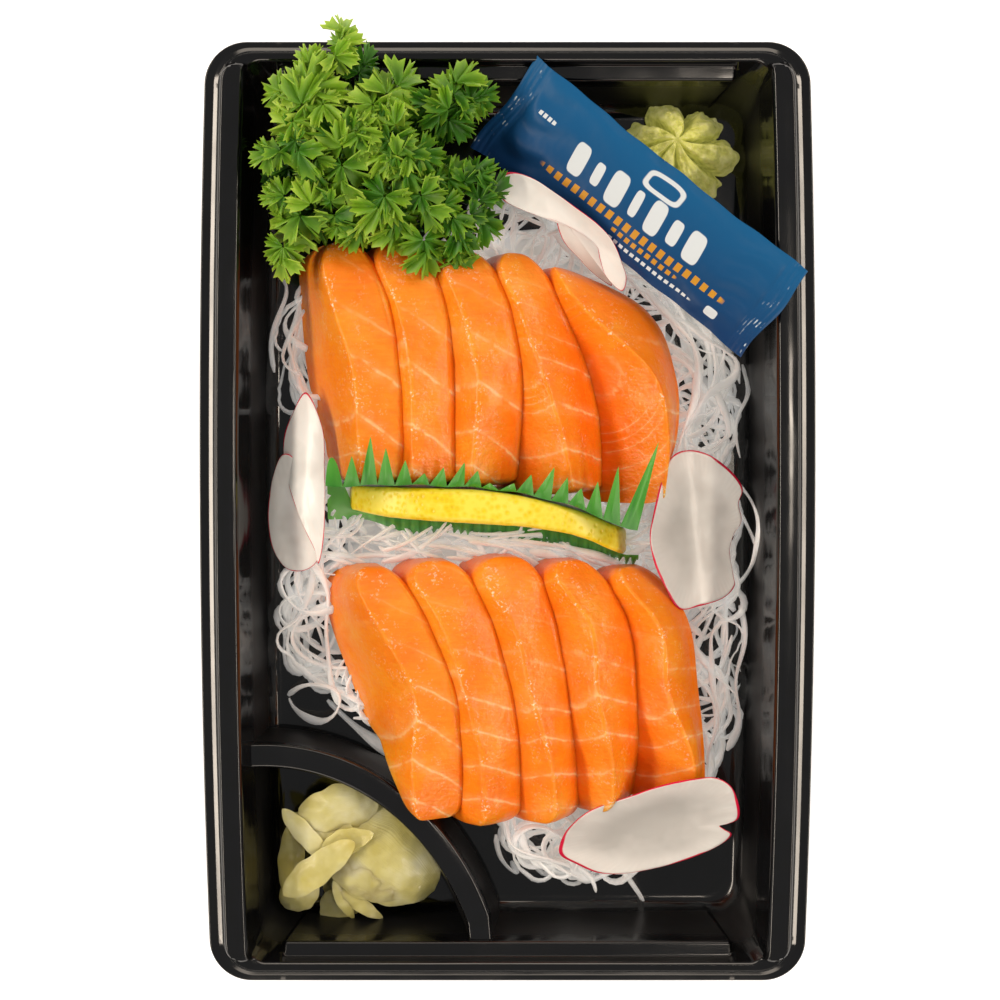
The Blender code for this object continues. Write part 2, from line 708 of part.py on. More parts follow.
def wasabi_point(height, angle):
    """The piped rosette: deep lobes that twist and close towards the top."""
    lobe = 0.5 + 0.5 * math.cos(WASABI_LOBES * angle + height * 1.4)
    profile = math.sqrt(max(1 - height ** 2.2, 0.0)) * (0.88 + 0.12 * smoothstep(0, 0.25, height))
    reach = profile * (1 - 0.34 * (1 - lobe))
    return (WASABI_CENTRE[0] + WASABI_RADII[0] * reach * math.cos(angle),
            WASABI_CENTRE[1] + WASABI_RADII[1] * reach * math.sin(angle),
            SHEET + GAP + WASABI_HEIGHT * height)


def build_wasabi():
    sides = WASABI_LOBES * 4
    loops = [[wasabi_point(height, math.tau * k / sides) for k in range(sides)]
             for height in (0.0, 0.15, 0.38, 0.6, 0.8, 0.93, 0.985)]
    return make_solid("wasabi", *loft(loops), finish=WASABI)


def ginger_slice(centre, size, turn, tilt, curl):
    """A thin oval slice of ginger, folded over across its length."""
    grid = []
    for i in range(3):
        line = []
        v = -1 + i
        for j in range(6):
            u = -1 + 2 * j / 5
            half = size[1] * math.sqrt(max(1 - 0.85 * u * u, 0.05))
            x, y = u * size[0], v * half
            z = curl * (u * u - 0.4) + 1.0 * math.sin(2.3 * v + u)
            z += x * math.sin(tilt)
            grid_x = x * math.cos(turn) - y * math.sin(turn)
            grid_y = x * math.sin(turn) + y * math.cos(turn)
            line.append((centre[0] + grid_x, centre[1] + grid_y, centre[2] + z))
        grid.append(line)
    return sheet_mesh(grid, 1.3)


def mound(centre, radii, height, foot_z, sides, lumps, seed):
    """A low uneven heap on a flat foot."""
    rng = random.Random(seed)
    phases = [rng.uniform(0, math.tau) for _ in range(4)]
    loops = []
    for level, reach in ((0.0, 0.9), (0.18, 1.0), (0.5, 0.88), (0.8, 0.6), (1.0, 0.22)):
        loop = []
        for k in range(sides):
            angle = math.tau * k / sides
            swell = 1 + lumps * sum(math.sin((n + 2) * angle + phases[n] + level * n) for n in range(4)) / 2
            loop.append((centre[0] + radii[0] * reach * swell * math.cos(angle),
                         centre[1] + radii[1] * reach * swell * math.sin(angle),
                         foot_z + height * level))
        loops.append(loop)
    return loft(loops)


def build_ginger(neighbours):
    rng = random.Random(5)
    core = mound(GINGER_CENTRE, (13.6, 13.0), 11.0, SHEET + GAP, 14, 0.06, 3)
    pieces = []
    for k in range(8):
        angle = math.tau * k / 8 + rng.uniform(-0.2, 0.2)
        reach = rng.uniform(4.0, 10.5)
        centre = (GINGER_CENTRE[0] + reach * math.cos(angle), GINGER_CENTRE[1] + reach * math.sin(angle),
                  mix(13.0, 7.0, reach / 11) + rng.uniform(-0.6, 1.6))
        piece = ginger_slice(centre, (rng.uniform(7.5, 9.5), rng.uniform(4.0, 5.5)),
                             angle + rng.uniform(-0.7, 0.7), -0.35, rng.uniform(-3.2, -1.0))
        if stays_clear(piece, neighbours):
            pieces.append(piece)
    return fuse("ginger", core, pieces, GINGER)


def parsley_leaf(start, tip, size, roll):
    """A leaflet on its stalk: a thin wavy fan with notched lobes."""
    start, tip = Vector(start), Vector(tip)
    forward = (tip - start).normalized()
    aside = forward.cross(Vector((math.sin(roll), math.cos(roll) * 0.3, 1.0))).normalized()
    upward = aside.cross(forward)
    length = (tip - start).length
    widths = (1.0, 0.9, size, size * 0.55, 0.6)
    fan = min(1.5 * size / length, 0.85)
    stations = (0.0, 1 - fan, 1 - fan * 0.55, 1 - fan * 0.3, 1.0)
    grid = []
    for side in (-1, 0, 1):
        line = []
        for k, (station, width) in enumerate(zip(stations, widths)):
            wave = 0.2 * width * abs(side) + 0.4 * math.sin(k * 1.9)
            line.append(start + forward * station * length + aside * side * width + upward * wave)
        grid.append(line)
    return sheet_mesh(grid, 1.0)


def build_parsley(neighbours):
    """A bunch of curly parsley in the corner, spilling over the end of the tray."""
    rng = random.Random(23)
    core = mound(PARSLEY_CENTRE, (19.0, 10.5), 29.0, SHEET + GAP, 16, 0.06, 9)
    middle = Vector((*PARSLEY_CENTRE, 22.0))
    pieces = []
    for ring, (count, lift) in enumerate(((13, 0.25), (10, 0.65), (6, 1.1), (3, 1.45))):
        for k in range(count):
            angle = math.tau * (k + 0.5 * (ring % 2)) / count + rng.uniform(-0.12, 0.12)
            reach = math.cos(lift * 0.95) * rng.uniform(0.9, 1.04)
            tip = (PARSLEY_SPREAD_CENTRE[0] + PARSLEY_SPREAD * reach * math.cos(angle),
                   PARSLEY_SPREAD_CENTRE[1] + PARSLEY_SPREAD * reach * math.sin(angle),
                   30.5 + 12.5 * math.sin(lift) + rng.uniform(-1.0, 1.5))
            for size in (7.2, 5.6):
                leaf = parsley_leaf(mix(middle, Vector((tip[0], tip[1], 24.0)), 0.2), tip,
                                    size * rng.uniform(0.9, 1.1), rng.uniform(-0.8, 0.8))
                if stays_clear(leaf, neighbours):
                    pieces.append(leaf)
                    break
    return fuse("parsley", core, pieces, PARSLEY)


def radish_slice(name, centre, radii, turn, tilt, cup, notch=None):
    """A thin round slice. tilt raises its +x and +y edges, and cup bends it like a dish."""
    def place(r, angle):
        reach = r
        if notch:
            away = math.cos(angle - notch)
            reach = r * (1 - 0.14 * smoothstep(0.975, 1.0, away) * smoothstep(0.5, 1.0, r))
        x, y = radii[0] * reach * math.cos(angle), radii[1] * reach * math.sin(angle)
        wx = centre[0] + x * math.cos(turn) - y * math.sin(turn)
        wy = centre[1] + x * math.sin(turn) + y * math.cos(turn)
        z = centre[2] + (wx - centre[0]) * tilt[0] + (wy - centre[1]) * tilt[1]
        z += cup * r * r * math.cos(2 * angle)
        return (wx, wy, z)

    return make_solid(name, *disc_mesh(place, 2, 20, RADISH_THICKNESS), finish=RADISH)


def build_radish():
    return [
        radish_slice("radish_top", (14.0, 71.4, 21.1), (18.4, 5.1), math.radians(-42), (0.39, 0.254), 0.9),
        radish_slice("radish_under", (17.0, 68.2, 14.4), (10.5, 4.2), math.radians(-42), (0.2, 0.2), 0.4),
        radish_slice("radish_left_1", (-56.0, 4.0, 15.5), (5.6, 19.5), math.radians(-6), (0.75, 0.0), 0.6),
        radish_slice("radish_left_2", (-53.5, 8.0, 12.2), (4.6, 18.0), math.radians(-3), (0.5, 0.05), 0.5),
        radish_slice("radish_right", (50.0, -4.3, 14.2), (12.7, 20.0), math.radians(3), (-0.4, 0.02), 0.8),
        radish_slice("radish_bottom", (37.5, -80.8, 19.2), (23.6, 12.2), math.radians(13), (0.04, 0.66),
                     0.7, notch=-0.35),
    ]


def main():
    clear_scene()
    tray = build_tray()
    salmon = build_salmon()
    lemon = build_lemon()
    grass = [build_grass_back(), build_grass_front()]
    packet = build_packet()
    wasabi = build_wasabi()
    radish = build_radish()
    bpy.context.view_layer.update()
    solid_things = [tray, *salmon, lemon, *grass, packet, wasabi, *radish]
    neighbours = [object_tree(obj) for obj in solid_things]
    for build in (build_bed, build_ginger, build_parsley):
        neighbours.append(object_tree(build(neighbours)))


main()
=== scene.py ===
"""Salmon sashimi tray: the looks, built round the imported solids.

Every length in the functions below is in millimetres; make_piece() turns it to metres. The origin is
the middle of the tray's underside, +Y runs along the tray's length and +Z is up.
"""

import json
import math
import random

import bmesh
import bpy
import numpy as np
from bpy.props import FloatProperty, FloatVectorProperty, IntProperty, PointerProperty
from mathutils import Matrix, Vector, noise

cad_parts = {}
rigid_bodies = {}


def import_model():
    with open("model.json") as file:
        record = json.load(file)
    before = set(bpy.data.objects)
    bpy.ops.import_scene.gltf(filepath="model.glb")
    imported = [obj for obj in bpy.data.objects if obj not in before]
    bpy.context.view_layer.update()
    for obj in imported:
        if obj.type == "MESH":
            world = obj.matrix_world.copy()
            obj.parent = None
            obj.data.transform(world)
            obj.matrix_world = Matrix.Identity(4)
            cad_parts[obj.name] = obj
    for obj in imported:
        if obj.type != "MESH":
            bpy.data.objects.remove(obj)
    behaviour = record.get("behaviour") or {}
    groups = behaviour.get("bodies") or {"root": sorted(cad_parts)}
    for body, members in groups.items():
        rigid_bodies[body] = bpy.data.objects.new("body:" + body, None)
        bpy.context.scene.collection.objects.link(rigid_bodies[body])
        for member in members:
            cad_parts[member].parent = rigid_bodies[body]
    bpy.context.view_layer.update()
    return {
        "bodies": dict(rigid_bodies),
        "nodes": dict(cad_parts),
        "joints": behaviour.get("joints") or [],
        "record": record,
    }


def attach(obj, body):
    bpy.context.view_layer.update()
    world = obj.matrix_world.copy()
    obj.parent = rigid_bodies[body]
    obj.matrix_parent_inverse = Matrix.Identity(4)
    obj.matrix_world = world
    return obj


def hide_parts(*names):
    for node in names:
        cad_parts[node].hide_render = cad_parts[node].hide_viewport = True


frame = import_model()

bl_info = {
    "name": "Salmon sashimi tray",
    "version": (1, 0, 0),
    "blender": (4, 5, 0),
    "location": "View3D > Sidebar > Sashimi",
    "description": "Builds a takeaway tray of salmon sashimi with its garnishes",
    "category": "Object",
}

MM = 0.001

# Tray
TRAY_HALF_WIDTH = 77.9
TRAY_HALF_LENGTH = 118.8
TRAY_BOW = 1.9
TRAY_BOW_REACH = 110.0
TRAY_CREASE = 28.0
SHEET = 0.6
LAND_Z = 24.4
BAR_END_Y = 113.8
BAR_MIDDLE_INSET = 7.2
BAR_HALF_WIDTH = 3.3
BAR_HOLLOW_SHORTER = 2.4
LEDGE_Z = 20.5
LEDGE_HALF_WIDTH = 56.4
LEDGE_END_RUN = 1.4
WALL_FOOT_Z = 3.2
WALL_FOOT_INSET = 15.3
WALL_END_FOOT_INSET = 14.1
WALL_SLOPE = 4.76
DIVIDER_Z = 18.6
DIVIDER_DRAFT = 0.16
DIVIDER_SIDE_LEAN = 0.212
DIVIDER_END_LEAN = 0.26
DIVIDER_HALF_WIDTH = 2.9
DIVIDER_CORNER = (-62.0, -61.6)
DIVIDER_REACH = (59.0, 68.0)
DIVIDER_END_TURN = 69.0

# The tray's section as key rings, from the skirt's lower edge over the rim and down to the floor. A
# ring is its inset from the long sides, from the ends and from the ends along the ledge, the radius
# of its corners, and its height at the long sides, at the ends and along the ledge.
TRAY_KEYS = [
    (0.0, 0.0, 0.0, 11.0, 19.6, 19.6, 19.6),
    (0.3, 0.3, 0.3, 10.7, 22.8, 22.8, 22.8),
    (2.6, 1.8, 1.8, 9.2, 23.2, 23.1, 23.1),
    (3.9, 2.7, 2.7, 8.4, 23.72, 23.45, 23.45),
    (4.5, 3.2, 3.2, 7.8, 26.9, LAND_Z, LAND_Z),
    (5.1, 3.6, 3.6, 7.4, 27.55, LAND_Z, LAND_Z),
    (7.2, 4.1, 4.1, 6.0, 27.7, LAND_Z, LAND_Z),
    (9.6, 4.7, 4.7, 4.6, 27.5, LAND_Z, LAND_Z),
    (10.4, 5.3, 5.3, 4.0, 26.6, LAND_Z - 0.4, LAND_Z - 0.4),
    (11.6, 6.9, 6.0, 4.4, LEDGE_Z, LEDGE_Z, LEDGE_Z),
    (12.4, 8.2, 9.6, 5.0, 17.0, 17.4, LEDGE_Z - 0.3),
    (WALL_FOOT_INSET, 13.9, WALL_END_FOOT_INSET, 7.6, WALL_FOOT_Z, WALL_FOOT_Z, WALL_FOOT_Z),
    (17.4, 16.2, 16.2, 7.2, SHEET, SHEET, SHEET),
    (24.0, 24.0, 24.0, 5.0, SHEET, SHEET, SHEET),
]
# how far each ring between the first and the last is rounded off
TRAY_CUTS = (0.35, 0.2, 0.2, 0.35, 0.3, 1.9, 0.4, 0.5, 0.6, 0.7, 1.3, 1.5)

# The two rows of salmon. Each seam is a slice's right-hand upper edge, given at five places from its
# back to its front, and each strip is how much of the next slice's broad cut face shows beyond that
# seam. marks are where the fat lines cross each ridge, counted along +Y, slants are how they run on
# from it, and small_arcs are the radii of the arcs that close on the broad face itself.
SLICE_FOOT_Z = 7.3
SLICE_SIDE_GAP = -0.3
UPPER_ROW = {
    "seams": ((-51.5, -50.5, -49.0, -45.5, -42.5), (-35.0, -29.0, -26.7, -26.0, -26.5),
              (-20.0, -15.0, -13.4, -13.2, -13.0), (-5.5, 1.0, 3.8, 3.5, 2.0),
              (6.5, 14.0, 20.8, 24.0, 24.5), (7.5, 34.5, 42.5, 43.0, 37.5)),
    "strips": ((4.0, 7.0, 10.5, 8.0, 6.0), (0.8, 1.5, 2.5, 2.2, 2.5), (1.2, 3.2, 6.0, 5.0, 3.5),
               (1.0, 1.6, 5.0, 10.5, 15.0), (1.0, 4.8, 15.5, 16.5, 15.5)),
    "backs": (68.8, 68.8, 66.6, 66.0, 62.5),
    "fronts": (8.3, 7.9, 7.4, 5.3, 2.8),
    "crests": (28.0, 28.6, 29.0, 28.4, 26.5),
    "front_droops": (1.5, 1.5, 1.5, 2.5, 5.0),
    "front_round": 2.2,
    "perched_fronts": (0.0, 0.0, 0.0, 0.0, 0.0),
    "outer_edge_z": 15.0,
    "marks": ((16.7, 25.5, 40.5, 54.3), (11.7, 23.2, 38.7, 53.0), (13.0, 21.7, 34.0, 47.0),
              (9.0, 17.2, 28.7, 40.2, 47.0), (5.5, 12.0, 19.0, 26.5, 46.0)),
    "slants": (0.72, 0.8, 0.72, 0.4, 0.3),
    "small_arcs": ((), (), (), (6.0,), (5.0, 11.0)),
}
LOWER_ROW = {
    "seams": ((-46.0, -43.5, -37.5, -31.0, -24.5), (-28.0, -19.5, -12.8, -11.5, -11.5),
              (-10.5, -3.5, 1.3, 3.4, 3.6), (7.5, 12.5, 15.5, 17.5, 18.5),
              (22.5, 31.0, 33.0, 33.5, 32.0), (37.0, 46.0, 48.5, 50.2, 50.3)),
    "strips": ((5.0, 11.0, 14.0, 7.0, 1.0), (1.5, 3.2, 2.0, 5.0, 6.0), (2.0, 5.0, 4.6, 7.5, 9.0),
               (1.5, 8.5, 7.0, 9.0, 8.5), (2.0, 7.0, 7.5, 13.5, 16.0)),
    "backs": (-12.9, -11.4, -10.4, -11.4, -13.2),
    "fronts": (-77.0, -79.0, -78.6, -76.0, -73.0),
    "crests": (28.2, 29.0, 29.4, 29.0, 27.0),
    "front_droops": (1.5, 3.5, 5.0, 7.5, 7.5),
    "front_round": 5.0,
    "perched_fronts": (12.6, 0.0, 0.0, 0.0, 0.0),
    "outer_edge_z": 17.0,
    "marks": ((-71.0, -61.1, -50.9, -41.4, -30.0), (-71.0, -62.6, -53.4, -45.1, -33.0),
              (-64.6, -55.4, -47.6, -36.0), (-63.9, -54.1, -44.6, -35.8, -26.0),
              (-63.1, -55.4, -48.3, -38.3, -28.0)),
    "slants": (0.65, 0.38, 0.3, 0.4, 0.12),
    "small_arcs": ((), (), (), (), ()),
}
SLICE_BACK_ROUND = 8.0
# how far each corner of a slice's section is rounded, how many points lie on the run after it, and
# which corner is the ridge
SECTION_CUTS = (1.2, 1.6, 4.0, 0.9, 4.0, 0.45, 0.5, 1.2)
SECTION_RUNS = (2, 4, 4, 5, 5, 1, 4, 4)
SECTION_RIDGE = 3

# Daikon noodles
BED_OUTLINE = (
    (-47, 67), (-58, 52), (-58, 30), (-52, 8), (-59, -16), (-59, -37), (-43, -53), (-23, -63),
    (-7, -79), (6, -94), (32, -96.5), (48, -83), (59, -60), (61, -28), (58, 6), (60, 36),
    (45, 58), (22, 74), (2, 82), (-24, 71),
)
NOODLE_RADIUS = 1.05
NOODLE_STEP = 1.5
# how high noodles pile up under the salmon and lemon, under the radish and elsewhere
NOODLE_TOP_UNDER_FOOD = 6.0
NOODLE_TOP_UNDER_RADISH = 8.5
NOODLE_TOP = 13.5
# single noodles that stray from the bed: thickness, and places they pass
LOOSE_NOODLES = (
    (1.0, ((59, 8), (62.5, 4), (64.5, -2), (64.5, -8), (63, -14), (60, -18.5), (55, -21))),
    (0.9, ((55, 5), (59, 1.5), (62, -3.5), (64, -8.5))),
    (1.5, ((-47, -49.5), (-41, -55.5), (-33, -61.5), (-25, -66.5), (-21, -71))),
    (0.9, ((-57, -48), (-52, -44), (-42, -46), (-46, -55), (-55, -53), (-57, -49))),
    (0.8, ((-3, -84), (-2, -91), (3, -96), (1, -92))),
    (0.9, ((18, -92), (22, -95), (23, -99))),
    (0.8, ((30, -93), (34, -99), (35.5, -102.5))),
    (0.9, ((60, -24), (62, -34), (58, -44), (61, -54), (57, -62))),
    (0.8, ((61, 38), (63, 30), (58, 24), (60, 14))),
    (0.8, ((-60, 36), (-61, 46), (-56, 56), (-58, 60))),
)

# Lemon half slice and divider grass. Along the tray's width the lemon's middle and half thickness
# run through these values, evenly spaced from its left end to its right end.
LEMON_ENDS = (-40.6, 30.6)
LEMON_MIDDLES = (4.1, 3.4, 2.9, 2.3, 0.8, -2.2, -7.2)
LEMON_HALVES = (2.9, 4.0, 4.2, 4.1, 3.7, 3.4, 3.3)
LEMON_HEIGHT = 21.5
LEMON_FOOT_Z = 8.4
GRASS_ENDS = (-45.5, 32.5)
GRASS_BEND_Z = 28.4
GRASS_THICKNESS = 0.22
# rows of the standing sheet: how far below its bend, and past the bend which share of a blade
GRASS_LEVELS = (-19.0, -12.0, -6.0, -1.0, 0.0, 0.12, 0.25, 0.4, 0.6, 0.8, 1.0)
GRASS_BLADE_STEPS = 14
# each blade of the standing sheet: where its tip lies across the tray, and its length past the bend
GRASS_TIPS = ((-43.5, 8.0), (-38.7, 8.4), (-33.9, 13.2), (-30.2, 10.2), (-25.4, 6.8), (-20.7, 3.0),
              (-15.9, 5.2), (-10.7, 6.6), (-7.4, 4.4), (-4.4, 1.8), (1.6, 2.2), (5.9, 5.2),
              (11.6, 8.6), (14.9, 6.8), (18.4, 5.2), (22.4, 9.4), (27.4, 15.5), (37.1, 24.0))
# the lying sheet's outer edge, evenly spaced from its left end to its right end
GRASS_FRONT_ENDS = (-46.0, 33.6)
GRASS_FRONT_ROWS = 9
GRASS_FRONT_COLUMNS = 181
GRASS_FRONT_EDGE = (-1.6, -1.8, -4.9, -4.4, -5.4, -7.2, -8.3, -11.2, -12.6)

# Radish slices: outline, height of the middle, slopes towards +x and +y, a bend of this strength
# along a line at this turn, and a tone where it isn't RADISH_TONE: less is greyer, which is painted
# shade on the slices that lie away from the light
RADISH_THICKNESS = 1.0
RADISH_TONE = 0.14
RADISH_SLICES = {
    "radish_top": {
        "outline": ((-3, 84), (0.5, 86), (6, 84.5), (11.5, 81), (16.5, 77.5), (22.5, 73), (26.5, 68.5),
                    (29, 63), (30, 59.5), (28.8, 56.5), (25, 60), (23.5, 64), (22.5, 67.5), (19, 70.5),
                    (13.5, 73.5), (8.5, 75), (3, 77), (-1.5, 79.5)),
        "middle_z": 22.3, "slope": (0.1, 0.3), "fold": 0.9, "fold_turn": -42},
    "radish_under": {
        "outline": ((12.5, 75), (17, 73.5), (21.5, 70), (23.7, 66.5), (25, 61.5), (26.5, 58),
                    (22, 61), (18, 65), (14, 69.5)),
        "middle_z": 16.5, "slope": (0.2, 0.45), "fold": 0.3, "fold_turn": -42},
    "radish_left_1": {
        "outline": ((-51, 31), (-55, 25), (-57, 20), (-57.2, 14), (-56, 8), (-54, 2), (-51.5, -4),
                    (-49, -9), (-48, -12.5), (-46.8, -7.5), (-46.3, 0), (-46.3, 12), (-46.8, 22)),
        "middle_z": 17.4, "slope": (0.45, 0.0), "fold": -0.5, "fold_turn": 86},
    "radish_left_2": {
        "outline": ((-57.5, 15), (-60, 9.5), (-61.4, 1.5), (-61.2, -5), (-59.8, -10), (-56.5, -14.2),
                    (-52, -14.6), (-48.5, -12), (-47.6, -7), (-49, 0), (-51, 8), (-54, 14)),
        "middle_z": 14.2, "slope": (0.32, 0.05), "fold": -0.4, "fold_turn": 86},
    "radish_right": {
        "outline": ((41.5, 14.5), (46, 16.3), (51.5, 15), (57, 11), (60.2, 6.5), (59.2, 2.5),
                    (60, -2), (58, -5.5), (57, -10), (58, -16), (58.2, -19), (55, -22), (49, -23.7),
                    (43.5, -24), (40, -18.5), (37, -12), (35.8, -5.5), (36.5, -0.5), (38.5, 7.5)),
        "middle_z": 14.8, "slope": (-0.36, 0.02), "fold": 0.25, "fold_turn": 95, "tone": -0.1},
    "radish_bottom": {
        "outline": ((13.5, -88), (13.8, -84), (16, -80), (21, -75.5), (29.5, -72), (40, -68),
                    (47.5, -66.5), (52.5, -66.2), (56.5, -68.5), (58.6, -73), (59, -77.2),
                    (56.6, -78.8), (54.2, -79.5), (55.6, -80.6), (57.3, -82), (54, -85), (47.5, -88.3),
                    (39, -91.2), (30.5, -93), (23.5, -93), (17.5, -90.5)),
        "middle_z": 17.8, "slope": (0.06, 0.38), "fold": 0.1, "fold_turn": 17, "tone": -0.27},
}

# Soy sauce sachet
PACKET_SIZE = (86.0, 27.0)
PACKET_CENTRE = (33.0, 77.1)
PACKET_TURN = -38.5
PACKET_END_Z = (19.3, 29.2)
PACKET_END_TILTS = (0.42, 0.07)
PACKET_BULGE = 3.1
# the printed pale bars, as shares of the sachet's half length and half width: their spacing, and
# the half sizes of each
PACKET_BAR_PITCH = 0.14
PACKET_BARS = ((0.05, 0.3), (0.03, 0.22), (0.055, 0.33), (0.028, 0.26), (0.05, 0.32), (0.036, 0.24),
               (0.055, 0.3))

# Wasabi, ginger and parsley
WASABI_CENTRE = (43.0, 91.0)
WASABI_PEAK_SHIFT = 4.0
WASABI_RADII = (15.3, 13.8)
WASABI_HEIGHT = 15.0
WASABI_LOBES = 7
GINGER_CENTRE = (-41.0, -89.5)
GINGER_THICKNESS = 0.45
GINGER_FOOT_Z = 1.6
# the slices on top of the heap: middle, half sizes, turn, how far the rim and one end bend down,
# and how pointed they are
GINGER_SLICES = (
    ((-32.0, -89.0, 14.2), (16.0, 12.0), -36, 4.0, 3.0, 0.55),
    ((-36.0, -93.0, 13.6), (11.0, 7.0), -25, 2.5, 1.0, 0.6),
    ((-44.5, -105.0, 6.5), (6.5, 4.2), -72, 0.8, 1.0, 0.7),
    ((-38.0, -101.5, 10.5), (7.0, 2.0), -38, 0.4, 3.0, 0.8),
    ((-42.5, -100.5, 10.0), (6.0, 1.8), -65, 0.4, 3.0, 0.8),
    ((-56.0, -89.0, 9.0), (11.0, 3.0), 84, 1.5, 1.0, 0.6),
    ((-54.0, -99.0, 10.5), (5.5, 4.2), 30, 2.5, 0.0, 0.5),
    ((-44.5, -83.5, 13.6), (7.5, 4.5), -15, -0.8, 0.0, 0.7),
    ((-41.0, -84.0, 14.6), (7.0, 3.0), 15, -0.6, 0.0, 0.7),
    ((-43.5, -76.0, 15.4), (10.5, 5.8), 10, 2.2, 1.0, 0.5),
    ((-50.5, -78.0, 13.5), (5.5, 3.5), 55, 1.5, 1.0, 0.5),
    ((-51.5, -83.0, 15.2), (9.5, 2.7), -48, 0.5, 1.0, 0.75),
    ((-48.4, -91.0, 16.4), (11.6, 4.0), 38, 0.8, -0.8, 0.62),
)
PARSLEY_CENTRE = (-34.0, 87.0)
PARSLEY_SPREAD_CENTRE = (-33.0, 93.0)
PARSLEY_SPREAD = 31.0
PARSLEY_ROOT_Z = 6.0
PARSLEY_BACK_Y = 103.0
# each top leaf: middle (x, y, z), heading in degrees, size, and how pale it is, mostly paler the
# higher it lies: painted light and shade
PARSLEY_SPRIGS = (
    (-41, 120, 38, 85, 14, 0.45), (-49, 112, 37, 120, 11, 0.38), (-48, 105, 39.4, 60, 17, 0.45),
    (-57, 106, 37, 170, 13, 0.45), (-53, 98, 39.4, 200, 17, 0.5), (-59, 90, 36, 185, 13, 0.4),
    (-37, 103, 40, 95, 16, 0.35), (-26, 107, 38.6, 40, 18, 0.42), (-12, 108, 33, 70, 15, 0.24),
    (-6, 104, 31, 20, 13, 0.2), (-42, 93, 40.4, 200, 16, 0.32), (-29, 97, 40, 20, 15, 0.35),
    (-30, 89, 40, 250, 15, 0.36), (-14, 98, 32, 320, 14, 0.12), (-41, 82, 39.4, 265, 18, 0.36),
    (-50, 82, 37, 240, 14, 0.3), (-58, 79, 34, 190, 12, 0.36), (-54, 71, 34, 230, 17, 0.42),
    (-56, 64, 30, 265, 13, 0.4), (-43, 71, 35, 270, 14, 0.3), (-23, 82, 38.2, 300, 16, 0.3),
    (-21, 90, 38, 10, 14, 0.28), (-32, 76, 38, 240, 15, 0.28), (-36, 70, 34, 255, 13, 0.36),
    (-27, 71, 35, 280, 16, 0.3), (-20, 65, 33, 280, 15, 0.36), (-20, 76, 36, 290, 15, 0.22),
    (-14, 84, 33, 0, 14, 0.2), (-8, 85, 30, 30, 13, 0.14), (-4, 80, 30, 25, 13, 0.16),
    (-6, 73, 30, 330, 15, 0.22), (-12, 71, 32, 300, 14, 0.24), (-12, 63, 30, 280, 12, 0.3),
    (-35, 112, 35, 60, 12, 0.0), (-34, 98, 38.6, 150, 12, 0.1), (-50, 90, 37, 300, 13, 0.2),
)

# Camera: its focal length, its distance from the food, its tilt from straight down, and where it
# points
CAMERA_LENS = 93.6
CAMERA_DISTANCE = 650.0
CAMERA_TILT = math.radians(3.0)
CAMERA_TARGET = (-1.9, 4.2, 28.0)
WARM_WHITE = "#fff0de"
# lamps: place and size, in metres, and which of the stage's settings holds the power
LAMPS = {
    "softbox_left": ((-0.95, 0.1, 0.75), (1.4, 0.13), "left_power"),
    "softbox_right": ((0.95, 0.1, 0.75), (1.4, 0.13), "right_power"),
    "softbox_back": ((0.0, 1.1, 0.9), (1.2, 0.3), "end_power"),
    "softbox_front": ((0.0, -1.1, 0.9), (1.2, 0.3), "end_power"),
    "strip_high": ((0.18, -0.01, 0.93), (0.07, 0.1), "strip_power"),
}
FLOOR_Z = -0.3
FLOOR_REACH = 3000.0


def linear(code, alpha=1.0):
    """An sRGB hex colour such as "#ff8c32" as linear red, green, blue and alpha."""
    channels = [int(code[k:k + 2], 16) / 255 for k in (1, 3, 5)]
    return (*((c / 12.92 if c <= 0.04045 else ((c + 0.055) / 1.055) ** 2.4) for c in channels), alpha)


def as_linear(colour):
    """A hex code or three linear numbers as a linear colour with alpha. Sockets pass unchanged."""
    if isinstance(colour, bpy.types.NodeSocket):
        return colour
    return linear(colour) if isinstance(colour, str) else (*colour, 1.0)


def add_node(tree, kind, inputs=(), **settings):
    """Adds a node. An input that is a socket is linked, and any other is set as a constant."""
    node = tree.nodes.new(kind)
    for name, value in settings.items():
        setattr(node, name, value)
    for key, value in dict(inputs).items():
        if isinstance(value, bpy.types.NodeSocket):
            tree.links.new(value, node.inputs[key])
        else:
            node.inputs[key].default_value = value
    return node


